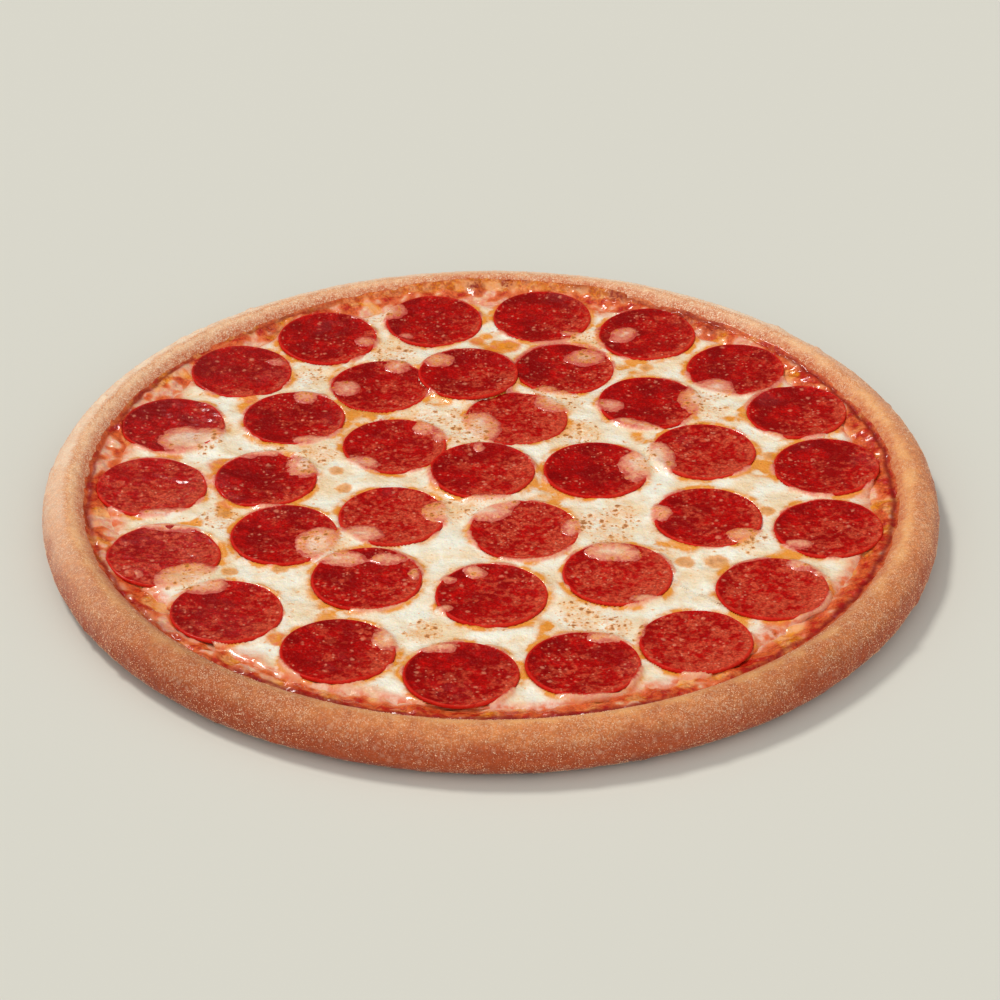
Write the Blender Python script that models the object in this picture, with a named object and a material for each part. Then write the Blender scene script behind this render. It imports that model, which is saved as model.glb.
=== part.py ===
"""A whole, uncut pepperoni pizza, 356 mm across, made in Blender 4.5.

It is built as the real one is: a dough base with a raised rim, a layer of tomato sauce that climbs
the rim's inner slope, a layer of melted cheese with a pocket for each slice of pepperoni, and the
36 slices. Tongues of cheese run over the slices' edges. Sizes are in millimetres and are turned
into metres when a mesh is made. +Z is up, the table is at z = 0, and the front of the pizza is -Y.
"""

import math
from collections import namedtuple

import bmesh
import bpy
from mathutils import Matrix, Vector, noise

MM = 0.001
GAP = 0.35  # between solids that touch in the real pizza
MERGE = 0.06  # points nearer than this are one
FLAT = math.radians(1.5)  # faces that turn less than this are one
STEPS = 66  # facets round the pizza
SHARP = math.radians(40)  # edges that turn more than this are not shaded smooth
TURN = 2 * math.pi

# Dough
PIZZA_R = 178.0
RIM_H = 19.5
RIM_OUTER_W = 12.0  # from the rim's crest to its outermost point
RIM_INNER_W = 6.5  # from the crest to the steep inner slope
RIM_INNER_DROP = 8.5
RIM_MID_H = 8.8  # height of the outermost point
CREST_R = PIZZA_R - RIM_OUTER_W
SLOPE_R = CREST_R - RIM_INNER_W
SLOPE_FOOT_W = 4.0  # the rounded foot of the inner slope
SLOPE_FOOT_H = 1.0
FLOOR_R = 150.0  # the flat floor that the sauce is spread on
FLOOR_H = 8.2
REACH_WANDER = 1.2  # unevenness of the outline, the crest's height and the inner slope
CREST_WANDER = 1.1
SLOPE_WANDER = 1.0

# Sauce
SAUCE_TOP = 10.0
SAUCE_FLAT_R = 138.0
SAUCE_LIP_H = 17.0  # how far it climbs the rim
SAUCE_SLOPE_R = SLOPE_R - 2 * GAP
LIP_W = 1.6
LUMP = 1.7  # height of its lumps
LUMP_RISE = 3.0  # how far past the cheese they reach their full height

# Cheese
CHEESE_TOP = 13.0
CHEESE_EDGE_R = 151.0
CHEESE_EDGE_WANDER = 5.0
CHEESE_EDGE_IN = 4.0  # the farthest that a bay runs in, and a lobe out
CHEESE_EDGE_OUT = 3.5
CHEESE_RISE = 0.5  # towards the rim

# Pepperoni
SLICE_R = 21.3
SLICE_T = 1.4
SLICE_SIDES = 16
SLICE_WOBBLE = 0.35
SLICE_BEVEL = 0.3
FLAT_TOP = 13.6  # height of a slice's upper face in the middle of the pizza
RIM_TOP = 14.2  # and beside the rim
RIM_TILT = math.radians(2.5)  # the outer slices lean against the rim
UNDER_TOP = 12.9  # of one that another lies on
OVER_TOP = 14.6  # of one that lies on another

# Tongues of cheese over the slices
TONGUE_H = 1.6
TONGUE_ROOT = 2.6
TONGUE_FOOT = 0.2  # height of its widest outline over the slice
SPILL = 3.0
NARROW_TONGUE = 6.0  # a narrower one has fewer sides

Slice = namedtuple("Slice", "x y tongues radius top", defaults=((), SLICE_R, FLAT_TOP))
Tongue = namedtuple("Tongue", "bearing tip half_width spill", defaults=(SPILL,))

# The slices were laid by hand, so no rule gives their places. Each one is x, y and its tongues of
# cheese. A tongue is its bearing from the slice's centre in degrees, how near its tip comes to that
# centre, half its width, and where it is not SPILL, how far past the slice's edge it starts.
OUTER_RING = (
    Slice(-70.5, 116.8, ((-20, 12.5, 5.5),)),
    Slice(-25.0, 132.5, ((165, 8.5, 11.0, 8), (228, 15.0, 5.0))),
    Slice(22.5, 135.5, ((-52, 16.0, 6.5),)),
    Slice(67.0, 120.0, ((205, 4.5, 7.0),)),
    Slice(103.5, 90.0, ((229, 13.0, 9.0, 4),), 20.8),
    Slice(126.0, 54.5, ((222, 17.0, 5.0), (250, 18.0, 6.0)), 20.7),
    Slice(134.0, 11.5),
    Slice(130.5, -34.0, ((225, 12.5, 5.5),)),
    Slice(105.5, -76.0, ((53, 13.0, 6.0), (25, 17.5, 4.0))),
    Slice(75.0, -110.0, ((165, 15.5, 8.0),)),
    Slice(33.0, -124.0, ((60, 15.5, 7.0),)),
    Slice(-11.0, -130.5, ((120, 14.5, 10.0),)),
    Slice(-55.5, -115.5, ((23, 13.0, 7.5),)),
    Slice(-98.0, -91.0, ((117, 12.0, 9.5),)),
    Slice(-125.0, -53.0, ((95, 16.0, 10.0), (-54, 10.0, 10.0, 5)), 22.0),
    Slice(-134.5, -4.0, ((290, 14.0, 11.0, 6),), 22.0),
    Slice(-130.0, 43.5, ((-45, 3.5, 13.0, 6),)),
    Slice(-105.5, 88.0, ((5, 12.5, 5.0),)),
)
MIDDLE_RING = (
    Slice(-46.0, 77.5, ((72, 11.5, 6.5), (177, 8.5, 6.5)), top=UNDER_TOP),
    Slice(-9.5, 85.8, ((144, 7.0, 7.5),), top=OVER_TOP),
    Slice(31.0, 92.5, ((45, 6.5, 8.5), (250, 15.0, 5.0)), top=UNDER_TOP),
    Slice(65.5, 63.0, ((3, 10.0, 14.0, 6), (187, 9.0, 6.0))),
    Slice(86.0, 24.0, ((192, 12.0, 13.0, 6),)),
    Slice(84.5, -25.0, ((168, 14.5, 6.0), (-51, 12.5, 8.5))),
    Slice(48.0, -65.0, ((98, 8.0, 11.5, 5), (-60, 14.0, 6.0))),
    Slice(0.0, -79.0, ((119, 10.5, 8.5), (208, 15.5, 4.5))),
    Slice(-47.0, -68.0, ((124, 11.0, 10.0, 5), (50, 9.5, 6.5), (15, 15.0, 5.0))),
    Slice(-80.0, -38.0, ((-21, 4.0, 9.0, 6),), 21.0),
    Slice(-89.5, 3.0, ((113, 17.0, 10.0), (34, 11.0, 11.0, 5)), 20.6),
    Slice(-81.0, 50.5, ((74, 10.0, 5.5), (-60, 16.0, 8.0))),
)
INNER_RING = (
    Slice(-39.0, 29.5, ((44, 14.5, 9.0), (224, 11.0, 7.0)), top=UNDER_TOP),
    Slice(10.5, 51.0, ((203, 5.0, 14.0, 8), (42, 11.0, 10.0, 6)), top=UNDER_TOP),
    Slice(42.0, 9.5, ((8, 6.0, 9.0, 6),)),
    Slice(13.0, -34.5, ((138, 9.5, 11.0, 8), (0, 14.0, 6.0))),
    Slice(-38.5, -24.0, ((5, 10.5, 11.0, 6), (229, 12.0, 9.0))),
)
MIDDLE_SLICE = Slice(-3.5, 7.8, ((93, 11.5, 3.8), (265, 17.5, 9.0)), top=OVER_TOP)
SLICES = (*OUTER_RING, *MIDDLE_RING, *INNER_RING, MIDDLE_SLICE)

FINISHES = {  # base colour, roughness
    "crust": ((0.60, 0.31, 0.12), 0.75),
    "sauce": ((0.52, 0.06, 0.015), 0.35),
    "cheese": ((0.86, 0.74, 0.47), 0.4),
    "pepperoni": ((0.36, 0.018, 0.018), 0.35),
}


def clear_scene():
    for old in list(bpy.data.objects):
        bpy.data.objects.remove(old)


def finish(name):
    """The material of one kind of food."""
    made = bpy.data.materials.get(name) or bpy.data.materials.new(name)
    colour, roughness = FINISHES[name]
    made.use_nodes = True
    shader = made.node_tree.nodes["Principled BSDF"]
    shader.inputs["Base Color"].default_value = (*colour, 1.0)
    shader.inputs["Roughness"].default_value = roughness
    shader.inputs["Metallic"].default_value = 0.0
    return made


def wander(angle, size, bumps, seed):
    """Smooth unevenness round the pizza, within size either way: noise read along a circle."""
    turns = bumps / TURN
    return size * noise.noise(Vector((turns * math.cos(angle), turns * math.sin(angle), 9.7 * seed)))


def round_the_pizza(radius_and_height):
    """A ring of points, where radius_and_height gives (r, z) at an angle."""
    ring = []
    for step in range(STEPS):
        angle = TURN * step / STEPS
        r, z = radius_and_height(angle)
        ring.append(Vector((r * math.cos(angle), r * math.sin(angle), z)))
    return ring


def level_ring(r, z):
    return round_the_pizza(lambda angle: (r, z))


def solid_of_rings(name, rings, material=None):
    """One closed solid from rings of points, lowest first and counter-clockwise from above."""
    count = len(rings[0])
    points = [tuple(p * MM) for ring in rings for p in ring]
    faces = [tuple(reversed(range(count)))]
    for low in range(0, count * (len(rings) - 1), count):
        for i in range(count):
            j = (i + 1) % count
            faces.append((low + i, low + j, low + count + j))
            faces.append((low + i, low + count + j, low + count + i))
    faces.append(tuple(range(len(points) - count, len(points))))
    mesh = bpy.data.meshes.new(name)
    mesh.from_pydata(points, [], faces)
    made = bpy.data.objects.new(name, mesh)
    if material:
        mesh.materials.append(finish(material))
        mesh.shade_smooth()
        mesh.set_sharp_from_angle(angle=SHARP)
    bpy.context.scene.collection.objects.link(made)
    return made


def inner_shift(angle):
    """How far the rim's inner slope strays from its circle. The dough and the sauce share it."""
    return wander(angle, SLOPE_WANDER, 14, 1)


def crest_shift(angle):
    """How far the rim's crest strays from its height."""
    return wander(angle, CREST_WANDER, 9, 2)


def cheese_edge(angle):
    """Where the cheese ends: wide lobes with smaller ones on them."""
    lobes = wander(angle, CHEESE_EDGE_WANDER, 16, 3) + wander(angle, 0.35 * CHEESE_EDGE_WANDER, 40, 4)
    return CHEESE_EDGE_R + max(-CHEESE_EDGE_IN, min(CHEESE_EDGE_OUT, lobes))


def make_crust():
    """The dough: a flat foot, a rounded outer wall, the crest, a steep inner slope and a flat floor."""

    def outer_wall(turned):
        """A point of the outer wall: an oval, turned from its foot (-90 degrees) to the crest (90)."""

        def at(angle):
            reach = RIM_OUTER_W + wander(angle, REACH_WANDER, 8, 5)
            half_height = RIM_MID_H if turned < 0 else RIM_H + crest_shift(angle) - RIM_MID_H
            return CREST_R + reach * math.cos(turned), RIM_MID_H + half_height * math.sin(turned)

        return at

    def inner_slope(turned):
        """A point of the inner slope: a quarter oval, turned from the crest (0) to its steepest (90)."""

        def at(angle):
            down = math.cos(turned)
            r = CREST_R - (RIM_INNER_W - inner_shift(angle)) * math.sin(turned)
            return r, RIM_H - RIM_INNER_DROP * (1 - down) + crest_shift(angle) * down

        return at

    walls = [outer_wall(math.radians(t)) for t in (-90, -55, -27, 0, 28, 56, 80)]
    slopes = [inner_slope(math.radians(t)) for t in (22, 48, 80)]
    outside = [round_the_pizza(at) for at in walls]
    inside = [round_the_pizza(at) for at in slopes]
    inside.append(level_ring(SLOPE_R - SLOPE_FOOT_W, FLOOR_H + SLOPE_FOOT_H))
    inside.append(level_ring(FLOOR_R, FLOOR_H))
    points = [p for ring in outside for p in ring]
    middle = Vector([(max(p[i] for p in points) + min(p[i] for p in points)) / 2 for i in (0, 1)] + [0])
    centred = [[p - middle for p in ring] for ring in outside]
    return solid_of_rings("crust", centred + inside, "crust")


def sauce_height(r, angle):
    """The sauce's upper face: flat, then climbing the rim, with lumps only past the cheese."""
    climb = max(0.0, (r - SAUCE_FLAT_R) / (SAUCE_SLOPE_R + LIP_W - SAUCE_FLAT_R))
    bare = max(0.0, min(1.0, (r - cheese_edge(angle)) / LUMP_RISE))
    return SAUCE_TOP + (SAUCE_LIP_H - SAUCE_TOP) * climb**3 + bare * abs(wander(angle, LUMP, 70, r))


def make_sauce(raised=0.0):
    """A layer that runs right through under the cheese and shows as a lumpy ring inside the rim.

    Its upper face is raised where it serves to cut the cheese.
    """

    def under(past_slope, z):
        return round_the_pizza(lambda angle: (SAUCE_SLOPE_R + past_slope + inner_shift(angle), z))

    def over(share):
        """A ring between the cheese's edge, where share is 0, and the lip, where it is 1."""

        def at(angle):
            r = cheese_edge(angle) * (1 - share) + (SAUCE_SLOPE_R + 0.2 + inner_shift(angle)) * share
            return r, sauce_height(r, angle) + raised

        return round_the_pizza(at)

    rings = (
        level_ring(FLOOR_R, FLOOR_H + GAP),
        level_ring(SAUCE_SLOPE_R - SLOPE_FOOT_W, FLOOR_H + SLOPE_FOOT_H + GAP),
        under(-0.3, 12.2),
        under(0.3, 14.6),
        under(LIP_W - 0.4, SAUCE_LIP_H - 0.5),
        *(over(share) for share in (1.0, 0.7, 0.35, 0.0)),
        level_ring(SAUCE_FLAT_R, SAUCE_TOP + raised),
    )
    return solid_of_rings("sauce", rings, "sauce")


def make_cheese_sheet():
    """The cheese before the slices are pressed in: an even layer with a rounded, wandering edge."""


    def edge_ring(inset, lift):
        """A ring near the edge, lift over where the cheese would touch the sauce."""

        def at(angle):
            r = cheese_edge(angle) - inset
            return r, sauce_height(r, angle) + GAP + lift

        return round_the_pizza(at)

    rings = (
        level_ring(SAUCE_FLAT_R, SAUCE_TOP + GAP),
        edge_ring(0.9, 0.05),
        edge_ring(0.0, 0.7),
        round_the_pizza(lambda angle: (cheese_edge(angle) - 2.0, CHEESE_TOP + CHEESE_RISE)),
        level_ring(SAUCE_FLAT_R, CHEESE_TOP),
    )
    return solid_of_rings("cheese", rings, "cheese")


def is_outer(number):
    return number < len(OUTER_RING)


def place_of(number):
    """Where a slice lies: the middle of its upper face, leaning up towards the rim in the outer ring."""
    slice_ = SLICES[number]
    outward = math.atan2(slice_.y, slice_.x)
    top = RIM_TOP if is_outer(number) else slice_.top
    lean = RIM_TILT if is_outer(number) else 0.0
    lean_axis = Vector((math.sin(outward), -math.cos(outward), 0))
    return Matrix.Translation((slice_.x, slice_.y, top)) @ Matrix.Rotation(lean, 4, lean_axis)


def slice_outline(number, grow, height):
    """The slice's edge, a little out of round, grown by grow, at a height over its upper face."""
    ring = []
    for side in range(SLICE_SIDES):
        angle = TURN * side / SLICE_SIDES
        r = SLICES[number].radius + wander(angle, SLICE_WOBBLE, 5, 20 + number) + grow
        ring.append(place_of(number) @ Vector((r * math.cos(angle), r * math.sin(angle), height)))
    return ring


def make_slice(number):
    """One slice of pepperoni, with the upper edge broken."""
    rings = (
        slice_outline(number, -SLICE_BEVEL, -SLICE_T),
        slice_outline(number, 0.0, -0.6 * SLICE_T),
        slice_outline(number, -SLICE_BEVEL, 0.0),
    )
    return solid_of_rings(f"pepperoni_{number + 1:02d}", rings, "pepperoni")


def make_tongue(number, tongue):
    """A low dome of cheese that starts outside a slice's edge and runs over it towards its middle."""
    start = SLICES[number].radius + tongue.spill
    half_length = (start - tongue.tip) / 2
    sides = 6 if tongue.half_width < NARROW_TONGUE else 8
    bearing = math.radians(tongue.bearing)
    middle = Matrix.Rotation(bearing, 4, "Z") @ Matrix.Translation((tongue.tip + half_length, 0, 0))
    place = place_of(number) @ middle

    def ring(share, height):
        points = []
        for side in range(sides):
            angle = TURN * (side + 0.5) / sides
            along = share * half_length * math.cos(angle)
            across = share * tongue.half_width * math.sin(angle)
            points.append(place @ Vector((along, across, height)))
        return points

    rings = (ring(0.95, -TONGUE_ROOT), ring(1.0, TONGUE_FOOT), ring(0.5, TONGUE_H))
    return solid_of_rings("tongue", rings)


def cut_or_join(solid, operation, others):
    """Cuts the others out of a solid, or joins them to it, and removes them."""
    group = bpy.data.collections.new(operation)
    for other in others:
        group.objects.link(other)
    boolean = solid.modifiers.new(operation, "BOOLEAN")
    boolean.operation = operation
    boolean.operand_type = "COLLECTION"
    boolean.collection = group
    boolean.solver = "EXACT"
    seen = solid.evaluated_get(bpy.context.evaluated_depsgraph_get())
    mesh = bpy.data.meshes.new_from_object(seen)
    solid.modifiers.clear()
    solid.data = mesh
    for other in others:
        bpy.data.objects.remove(other)
    bpy.data.collections.remove(group)
    clean(mesh)


def clean(mesh):
    """Merges points that a Boolean left almost on one another, and drops loose scraps."""
    shape = bmesh.new()
    shape.from_mesh(mesh)
    bmesh.ops.remove_doubles(shape, verts=shape.verts[:], dist=MERGE * MM)
    bmesh.ops.dissolve_limit(shape, angle_limit=FLAT, verts=shape.verts[:], edges=shape.edges[:])
    bmesh.ops.triangulate(shape, faces=shape.faces[:])
    left = set(shape.verts)
    pieces = []
    while left:
        piece = {left.pop()}
        newest = set(piece)
        while newest:
            newest = {edge.other_vert(vert) for vert in newest for edge in vert.link_edges} - piece
            piece |= newest
        left -= piece
        pieces.append(piece)
    pieces.sort(key=len)
    scraps = [vert for piece in pieces[:-1] for vert in piece]
    bmesh.ops.delete(shape, geom=scraps, context="VERTS")
    shape.to_mesh(mesh)
    shape.free()


def room_for_slices(below, grow, above):
    """A cutter for each slice: its grown outline, from below its lower face to above its upper one."""
    cutters = []
    for number in range(len(SLICES)):
        rings = (slice_outline(number, grow, -SLICE_T - below), slice_outline(number, grow, above))
        cutters.append(solid_of_rings("room", rings))
    return cutters


def main():
    clear_scene()
    make_crust()
    sauce = make_sauce()
    cut_or_join(sauce, "DIFFERENCE", room_for_slices(GAP, GAP, GAP))

    cheese = make_cheese_sheet()
    tongues = [make_tongue(number, Tongue(*t)) for number, s in enumerate(SLICES) for t in s.tongues]
    cut_or_join(cheese, "UNION", tongues)
    cut_or_join(cheese, "DIFFERENCE", [*room_for_slices(GAP, GAP, GAP), make_sauce(0.9 * GAP)])

    for number in range(len(SLICES)):
        make_slice(number)


main()
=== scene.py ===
"""The looks of a whole pepperoni pizza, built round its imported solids.

Every piece is a surface worked out with numpy from formulas that its function describes. The module's
lengths are in millimetres, in the solids' own frame: +Z is up, the table is at z = 0, and the front
of the pizza is -Y. A piece turns them into metres when its mesh is written.
"""

import math
from collections import namedtuple

import bpy
import numpy as np
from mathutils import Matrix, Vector


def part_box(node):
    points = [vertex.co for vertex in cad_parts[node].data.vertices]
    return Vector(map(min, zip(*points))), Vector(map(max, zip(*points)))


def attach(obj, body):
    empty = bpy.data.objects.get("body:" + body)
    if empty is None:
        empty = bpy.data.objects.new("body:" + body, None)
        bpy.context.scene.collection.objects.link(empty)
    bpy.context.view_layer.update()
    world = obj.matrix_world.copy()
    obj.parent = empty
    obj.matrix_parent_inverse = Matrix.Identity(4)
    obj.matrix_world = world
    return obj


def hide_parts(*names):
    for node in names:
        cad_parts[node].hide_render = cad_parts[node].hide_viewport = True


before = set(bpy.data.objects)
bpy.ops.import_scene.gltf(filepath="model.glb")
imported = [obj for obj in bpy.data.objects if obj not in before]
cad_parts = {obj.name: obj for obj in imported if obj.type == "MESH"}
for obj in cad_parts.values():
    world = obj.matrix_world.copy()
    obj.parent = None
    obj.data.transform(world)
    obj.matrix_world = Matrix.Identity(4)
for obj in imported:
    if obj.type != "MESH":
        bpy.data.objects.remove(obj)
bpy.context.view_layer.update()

bl_info = {
    "name": "Pepperoni Pizza",
    "version": (1, 0, 0),
    "blender": (4, 5, 0),
    "location": "3D View > Sidebar > Pizza",
    "description": "Makes a baked pepperoni pizza and the studio that shows it",
    "category": "Add Mesh",
}

MM = 0.001
TURN = 2 * np.pi
RNG_SEED = 11

# The slices, as the solids give them
SLICE_NODES = sorted(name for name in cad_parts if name.startswith("pepperoni"))
OUTER_COUNT = 18  # the first ones lie beside the rim
OUTER_LEAN = math.radians(2.5)
SLICE_T = 1.4
SLICE_BEVEL = 0.5

# The rim's cross-section, as in the solid
CREST_R = 167.0
CREST_H = 19.25
MID_H = 8.8
INNER_W = 7.5
INNER_DROP = 4.9
INNER_END = 0.95  # share of the inner slope that is an arch; a straight foot follows
FLOOR_R = 150.0
FLOOR_H = 8.2
SLOPE_FOOT = (155.5, 9.2)
OUTER_LIMIT_R = 177.4  # no bump of the crust goes past these
TOP_LIMIT = 19.75

# Levels and places of the layers
RING_R = 141.0  # the sauce's ring is shaped from here outwards
SAUCE_LEVEL = 12.4
SAUCE_FOOT = ((60.0, 8.55), (120.0, 8.55), (150.0, 8.55), (155.0, 9.2), (158.5, 11.0))  # radius, height
CHEESE_R = 151.5
CHEESE_LEVEL = 13.0
CHEESE_EDGE = 11.2
CHEESE_LOWEST = 10.9
CHEESE_FOOT = 10.4

# How finely the surfaces are divided
CRUST_SIDES = 960
WALL_RINGS = 58
SLOPE_RINGS = 22
SAUCE_SIDES = 1200
SAUCE_RINGS = 52

# Grains of semolina
GRAIN_SIZES = (0.09, 0.19)
GRAIN_STRETCH = (0.7, 1.3)
SLOPE_REACH = 14.0  # way down the inner slope for a turn of one radian past the crest

# The studio
SENSOR = 36.0
AIM_H = 8.0
FLOOR_HALF = 3000.0
FLOOR_CLOUDS = 500.0
ROOM_BACK = (0.03, 0.03, 0.03)
ROOM_FRONT = (1.23, 1.24, 1.26)
SUN_AZIMUTH = math.radians(48)
SUN_HEIGHT = math.radians(57)
SUN_STRENGTH = 1.46
SUN_SIZE = math.radians(12)
SUN_COLOUR = (1.0, 0.985, 0.96)

# Tongues of cheese over the slices, read from the photo in the plane of the topping:
# x, y, length along x, length along y, and how far the oval is turned in degrees.
TONGUES = (
    (-80, 137, 12, 9, 0), (-54, 114, 11, 11, 0), (-51, 141, 30, 21, 0), (-37, 120, 9, 6, 0),
    (35, 121, 12, 7, -20), (57, 119, 17, 12, 50), (-91, 96, 10, 8, 0), (-40, 94, 12, 13, 0),
    (-61, 76, 13, 15, 0), (-23, 97, 16, 14, 0), (40, 102, 19, 15, 0), (23, 75, 11, 8, 0),
    (94, 76, 17, 16, 0), (-121, 33, 32, 26, -10), (-77, 68, 12, 13, 0), (-73, 33, 16, 9, 0),
    (-5, 43, 20, 28, 0), (27, 65, 20, 20, 0), (50, 61, 12, 12, 0), (91, 65, 28, 29, 0),
    (60, 45, 22, 9, -25), (105, 41, 9, 9, 0), (114, 37, 13, 7, -10), (-27, 44, 12, 12, 0),
    (-21, 36, 8, 10, 0), (-52, 16, 16, 13, 0), (-5, 25, 6, 7, 0), (0, -15, 24, 11, 0),
    (61, 14, 22, 23, 0), (57, 4, 9, 8, 0), (67, 18, 17, 28, 0), (-126, -24, 24, 11, 0),
    (-98, 23, 27, 10, 0), (-75, 14, 16, 22, 0), (-17, -22, 22, 19, 0), (-2, -21, 22, 17, 0),
    (-50, -37, 19, 14, 0), (31, -33, 9, 14, 0), (66, -22, 11, 12, 0), (97, -38, 15, 12, 0),
    (118, -45, 12, 9, 0), (-124, -33, 28, 6, 0), (-114, -69, 28, 22, 10), (-134, -67, 8, 7, 0),
    (-66, -44, 21, 24, 0), (-57, -54, 20, 13, 0), (-39, -55, 15, 10, 0), (-29, -66, 6, 9, 0),
    (-6, -64, 11, 10, 0), (-16, -69, 8, 7, 0), (-17, -89, 8, 7, 0), (46, -50, 23, 15, 0),
    (53, -52, 10, 11, 0), (58, -82, 13, 9, 0), (117, -60, 12, 9, 0), (124, -66, 7, 7, 0),
    (-107, -74, 19, 12, 0), (-38, -108, 13, 17, 0), (-20, -113, 18, 9, 0), (43, -107, 17, 9, 0),
    (54, -104, 7, 17, -20),
)
# Clusters of tiny toasted specks: x, y, radius.
TOASTED = (
    (-14, 50, 9), (-10, 38, 9), (-28, 52, 8), (30, 65, 9), (36, 40, 10), (50, -24, 9), (40, -30, 9),
    (46, -38, 8), (-12, -18, 9), (-25, -22, 8), (33, -90, 9), (45, -99, 8), (-25, -102, 8),
    (-62, -45, 9), (-70, 22, 8), (85, 65, 9), (88, 52, 8), (42, 116, 9), (-60, 145, 9), (-76, 86, 8),
    (-42, 105, 10), (-105, -25, 9), (-115, -67, 9), (98, -40, 9), (35, -95, 8), (-50, 140, 9),
    (-23, 97, 4), (40, 102, 5), (22, 72, 6), (-75, -4, 6), (-88, 30, 7),
)
# Browned bubbles of cheese: x, y, radius.
BROWNED = (
    (74, -56, 5), (86, -56, 6), (-99, -63, 4), (-80, -61, 4), (-58, -3, 4), (-62, 10, 4), (95, 130, 5),
    (112, 21, 4), (60, -52, 4), (-30, 118, 3.5), (8, 112, 4), (66, 93, 4), (-104, -22, 4),
    (108, -20, 4),
)
# Places between the slices where baked sauce shows through: x, y, radius.
RED_PATCHES = (
    (-107, 2, 9), (-108, 14, 7), (-104, -16, 5), (8, 112, 6), (2, 108, 5), (-6, 116, 4), (96, 104, 6),
    (-66, 100, 4), (-100, 66, 4), (60, -64, 3), (106, -96, 4), (-78, -108, 5), (-128, 20, 5),
    (118, 22, 3),
)
# Pools of golden oil: x, y, radius.
OILY = (
    (0, 114, 9), (24, -10, 11), (70, -42, 11), (100, 55, 9), (-55, 52, 8), (-100, 60, 7), (60, 93, 8),
    (108, 12, 8), (-60, -90, 8), (20, -100, 7), (90, -95, 8), (-104, 16, 8), (-22, 66, 7), (5, 68, 6),
    (-118, -30, 7), (112, -55, 8), (-20, 0, 5), (62, 36, 6),
)
# Lumps of sauce and melted cheese in the ring beside the rim: x, y, radius, height.
LUMPS = (
    (-102, -120, 4.5, 1.6), (-90, -127, 3.5, 1.2), (-27, -152, 3.5, 1.6), (153, 35, 4.0, 1.3),
    (157, 20, 3.5, 1.4), (152, -24, 4.5, 1.2), (146, -62, 4.0, 1.0), (39, 158, 4.0, 1.2),
    (55, 151, 5.0, 1.3), (-7, 158, 4.0, 0.9), (-150, 42, 4.0, 1.2), (-153, 30, 3.0, 1.0),
    (-146, -62, 4.0, 1.2), (-128, -92, 4.0, 1.1), (-115, -107, 3.5, 1.0), (20, -154, 3.0, 0.9),
    (60, -143, 3.5, 1.0), (98, -120, 4.0, 1.0), (126, -92, 3.5, 0.9), (112, 105, 4.0, 1.0),
    (82, 132, 4.5, 1.2), (92, 126, 4.0, 1.1), (-112, 106, 3.5, 0.9), (-135, 78, 3.5, 1.0),
)
# Brown, well-baked places on the ring: x, y, radius.
BURNT = (
    (39, 160, 5), (56, 152, 6), (-7, 159, 5), (7, 162, 4), (16, 164, 3), (84, 133, 6), (96, 125, 6),
    (-96, 124, 4),
)
# Places where a slice is wet with fat: x, y, radius.
WET = (
    (-112, -6, 13), (-118, -10, 8), (-113, 45, 12), (-140, 30, 6), (-90, 82, 10), (-70, 125, 8),
    (-64, 50, 8), (-125, -50, 18), (-98, -98, 14), (-56, -122, 10), (-15, -140, 10), (52, -128, 8),
    (150, 14, 8), (128, 30, 7), (30, 150, 8), (-40, -5, 6), (80, 32, 6), (115, 66, 7),
)
Fold = namedtuple("Fold", "slice x y bearing depth width")
# Folds of the slices: the slice's number, a point of the fold, its bearing, its depth and half its width.
FOLDS = (
    Fold(17, -127, 44, 15, -1.1, 7.0), Fold(17, -112, 47, 95, 0.9, 5.0),
    Fold(29, -92, 3, 60, -1.5, 4.5), Fold(29, -100, -4, 130, 0.7, 6.0),
    Fold(16, -118, -6, 80, 0.7, 5.0), Fold(16, -134, -2, 5, -0.6, 4.0),
    Fold(15, -125, -45, 5, -0.6, 3.5), Fold(15, -125, -60, 8, 0.6, 4.0), Fold(23, 86, 12, 5, 0.7, 5.0),
    Fold(24, 78, -38, 145, -0.7, 5.0), Fold(6, 117, 64, 55, -0.6, 4.5), Fold(4, 70, 138, 60, 0.5, 6.0),
)
RIDGED = (15, 16, 17, 29)  # slices that shrank into fine ridges
PALE_SLICES = (9, 10, 15, 16, 23, 25, 32, 34, 35)  # more orange ones
DEEP_SLICES = (1, 2, 3, 4, 5, 17, 20, 21, 22, 29, 30, 33)  # the darkest ones


def smooth(low, high, value):
    """0 below low, 1 above high, and an S-shaped curve between them."""
    share = np.clip((value - low) / (high - low), 0, 1)
    return share * share * (3 - 2 * share)


def bell(value, width):
    """1 where the value is 0, falling off over that width on both sides."""
    return np.exp(-((value / width) ** 2))


def in_plane(r, angle):
    """The x and y of a point at a radius and an angle."""
    return r * np.cos(angle), r * np.sin(angle)


def circle(count):
    """That many angles round a circle, as one row."""
    return np.linspace(0, TURN, count, endpoint=False)[None, :]


def rings(values, count):
    """Rows that each repeat one of the values, count times, round the pizza."""
    return np.array(values, float)[:, None] * np.ones((1, count))


def corner_value(i, j, k, seed):
    """A whole number that looks random for each corner of a lattice, mixed from its place and the seed."""
    mixed = i * np.uint32(374761393) + j * np.uint32(668265263) + k * np.uint32(2246822519)
    mixed = mixed + np.uint32(seed * 97 + 13) * np.uint32(3266489917)
    mixed = (mixed ^ (mixed >> np.uint32(15))) * np.uint32(2246822519)
    mixed = (mixed ^ (mixed >> np.uint32(13))) * np.uint32(3266489917)
    return mixed ^ (mixed >> np.uint32(16))


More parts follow.
